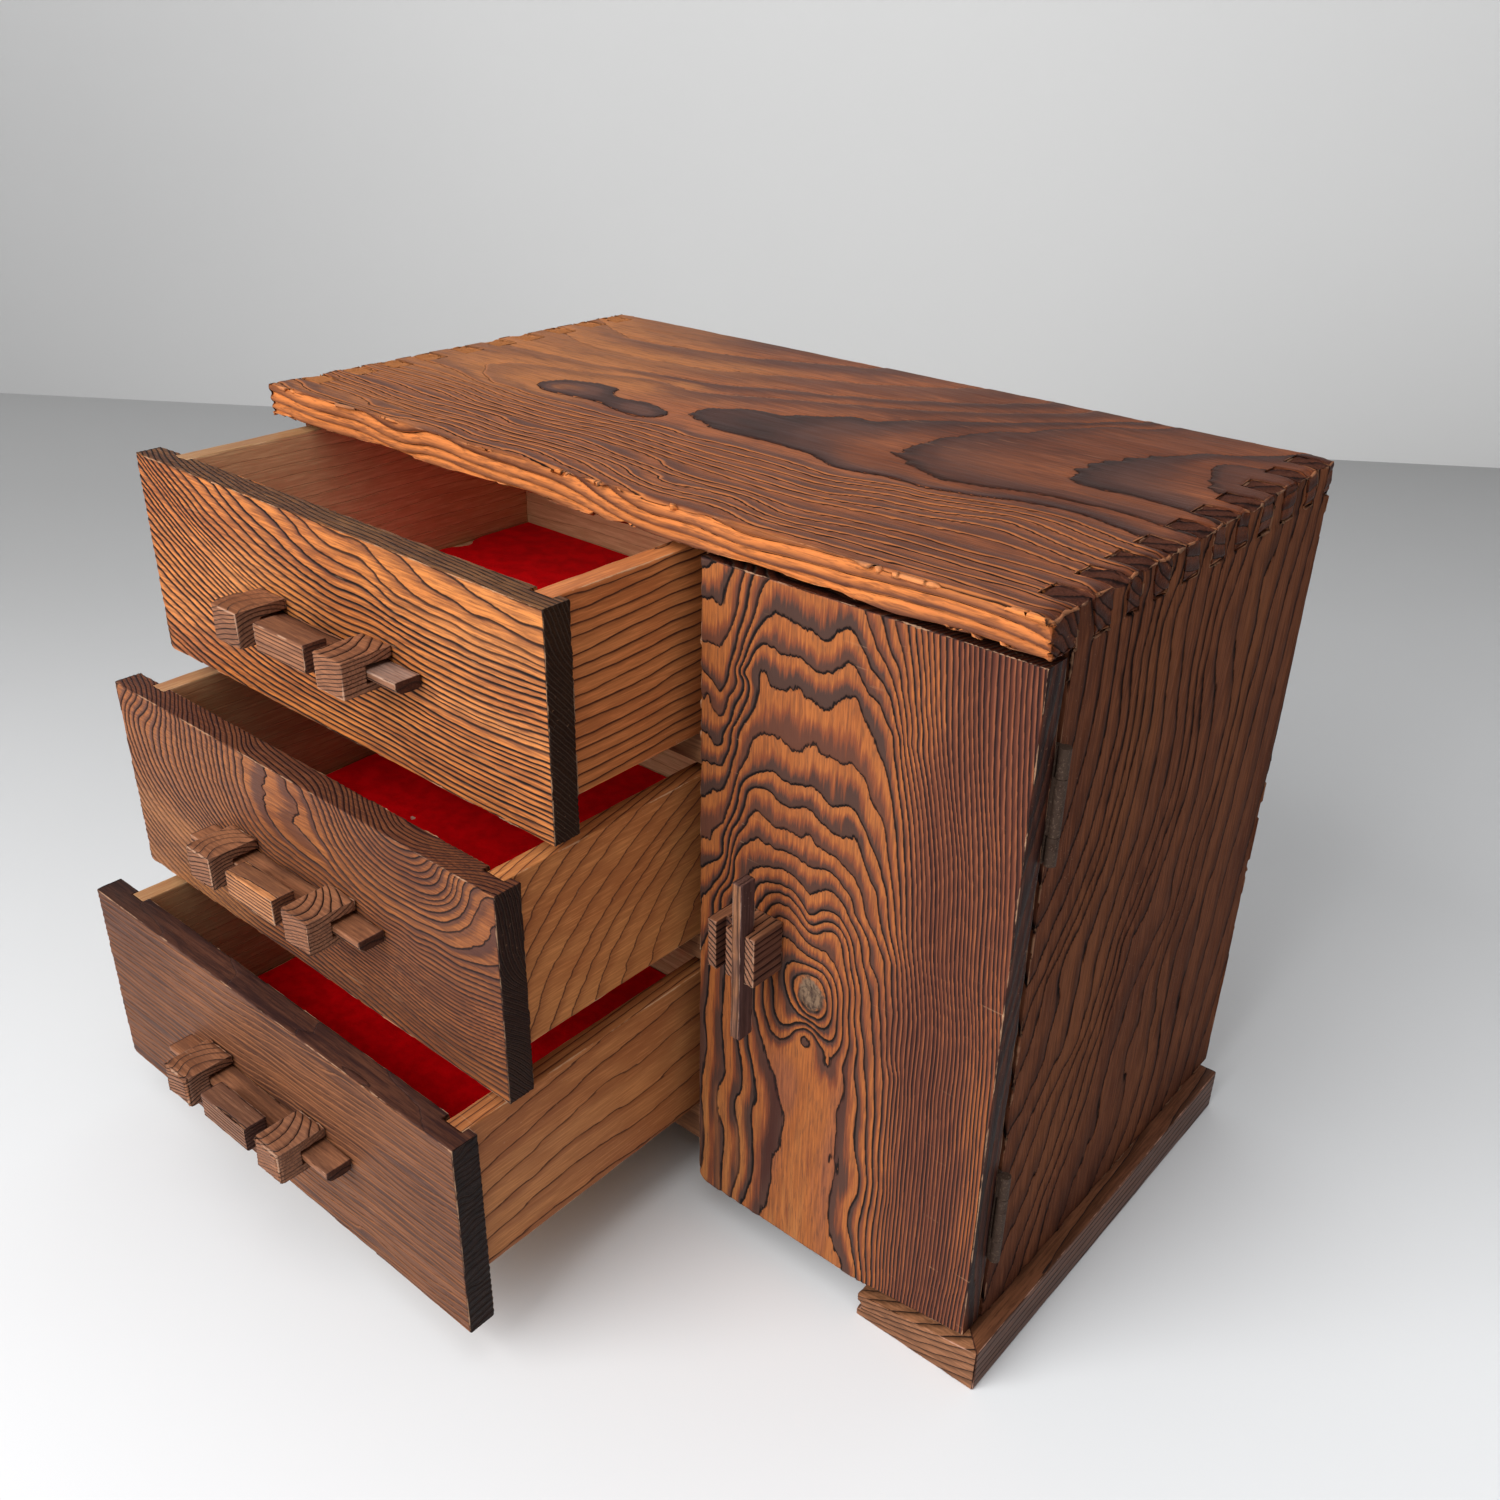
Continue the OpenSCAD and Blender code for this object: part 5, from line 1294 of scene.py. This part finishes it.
# floor and back wall, pale and plain, darker along their way from one end of the fade to the other: painted
# light falloff; the near floor's cool tint offsets the warm light thrown back from the wood, also painted
# light
room = dict(floorNear=(0.88, 0.892, 0.905), floorFarPaintedShade=(0.36, 0.36, 0.36), floorWay=(-0.78, 0.626, 0),
            floorPaintedFalloff=(-0.65, 0.95), wall=(0.66, 0.66, 0.655), wallSidePaintedShade=(0.36, 0.36, 0.36),
            wallWay=(-0.831, -0.556, 0), wallPaintedFalloff=(-0.3, 1.2), wallFrom=(-1.382, 0.355),
            wallTo=(-0.005, 1.278), wallHigh=4, reach=6.0, sky=(0.97, 0.98, 1.0, 1), skyStrength=0.32)


def paintedFalloffFinish(name, middle, edge, way, start, stop):
    f = Finish(name)
    at = f.where()
    cloud = f.noise(at, 3.0, (1, 1, 1), 2.0, 0.5)
    run = f.node("ShaderNodeVectorMath", {"operation": "DOT_PRODUCT"}, [at, way], 1)
    # the tint darkens from middle to edge along the way: painted light falloff
    tint = f.mix(middle, edge, f.step(run + (cloud - 0.5) * 0.1, start, stop))
    return f.out(Base_Color=tint, Roughness=0.9, Specular_IOR_Level=0.1)


def stagePlane(name, corners, finish):
    mesh = bpy.data.meshes.new(name)
    mesh.from_pydata(corners, [], [(0, 1, 2, 3)])
    mesh.materials.append(finish)
    plane = bpy.data.objects.new(name, mesh)
    bpy.context.scene.collection.objects.link(plane)


wallA, wallB = Vector(room["wallFrom"]), Vector(room["wallTo"])
along = (wallB - wallA).normalized() * room["reach"]
ends = [(*(wallA - along), 0), (*(wallB + along), 0)]
off = Vector((along.y, -along.x))
stagePlane("floor", [ends[0], (*(wallA - along + off), 0), (*(wallB + along + off), 0), ends[1]],
           paintedFalloffFinish("floor_with_painted_falloff", room["floorNear"], room["floorFarPaintedShade"], room["floorWay"],
                       *room["floorPaintedFalloff"]))
stagePlane("back_wall", [*ends, (*ends[1][:2], room["wallHigh"]), (*ends[0][:2], room["wallHigh"])],
           paintedFalloffFinish("wall_with_painted_falloff", room["wall"], room["wallSidePaintedShade"], room["wallWay"], *room["wallPaintedFalloff"]))


def softLamp(name, place, aim, size, power):
    data = bpy.data.lights.new(name, "AREA")
    data.size, data.energy = size, power
    lamp = bpy.data.objects.new(name, data)
    bpy.context.scene.collection.objects.link(lamp)
    turn = (Vector(aim) - Vector(place)).to_track_quat("-Z", "Y")
    lamp.matrix_world = Matrix.Translation(place) @ turn.to_matrix().to_4x4()


# place, aim, size in metres and power in watts
lamps = dict(key=((-0.45, -1.85, 1.25), (0, 0, 0.12), 1.9, 70), top=((0.35, -0.7, 2.1), (0, 0, 0), 1.6, 14))
for name, (at, aim, size, power) in lamps.items():
    softLamp(name, at, aim, size, power)
world = bpy.data.worlds.new("room_light")
world.use_nodes = True
sky = world.node_tree.nodes["Background"]
sky.inputs[0].default_value, sky.inputs[1].default_value = room["sky"], room["skyStrength"]
bpy.context.scene.world = world
bpy.context.scene.view_settings.view_transform = "Standard"
print("room and lamps ready")
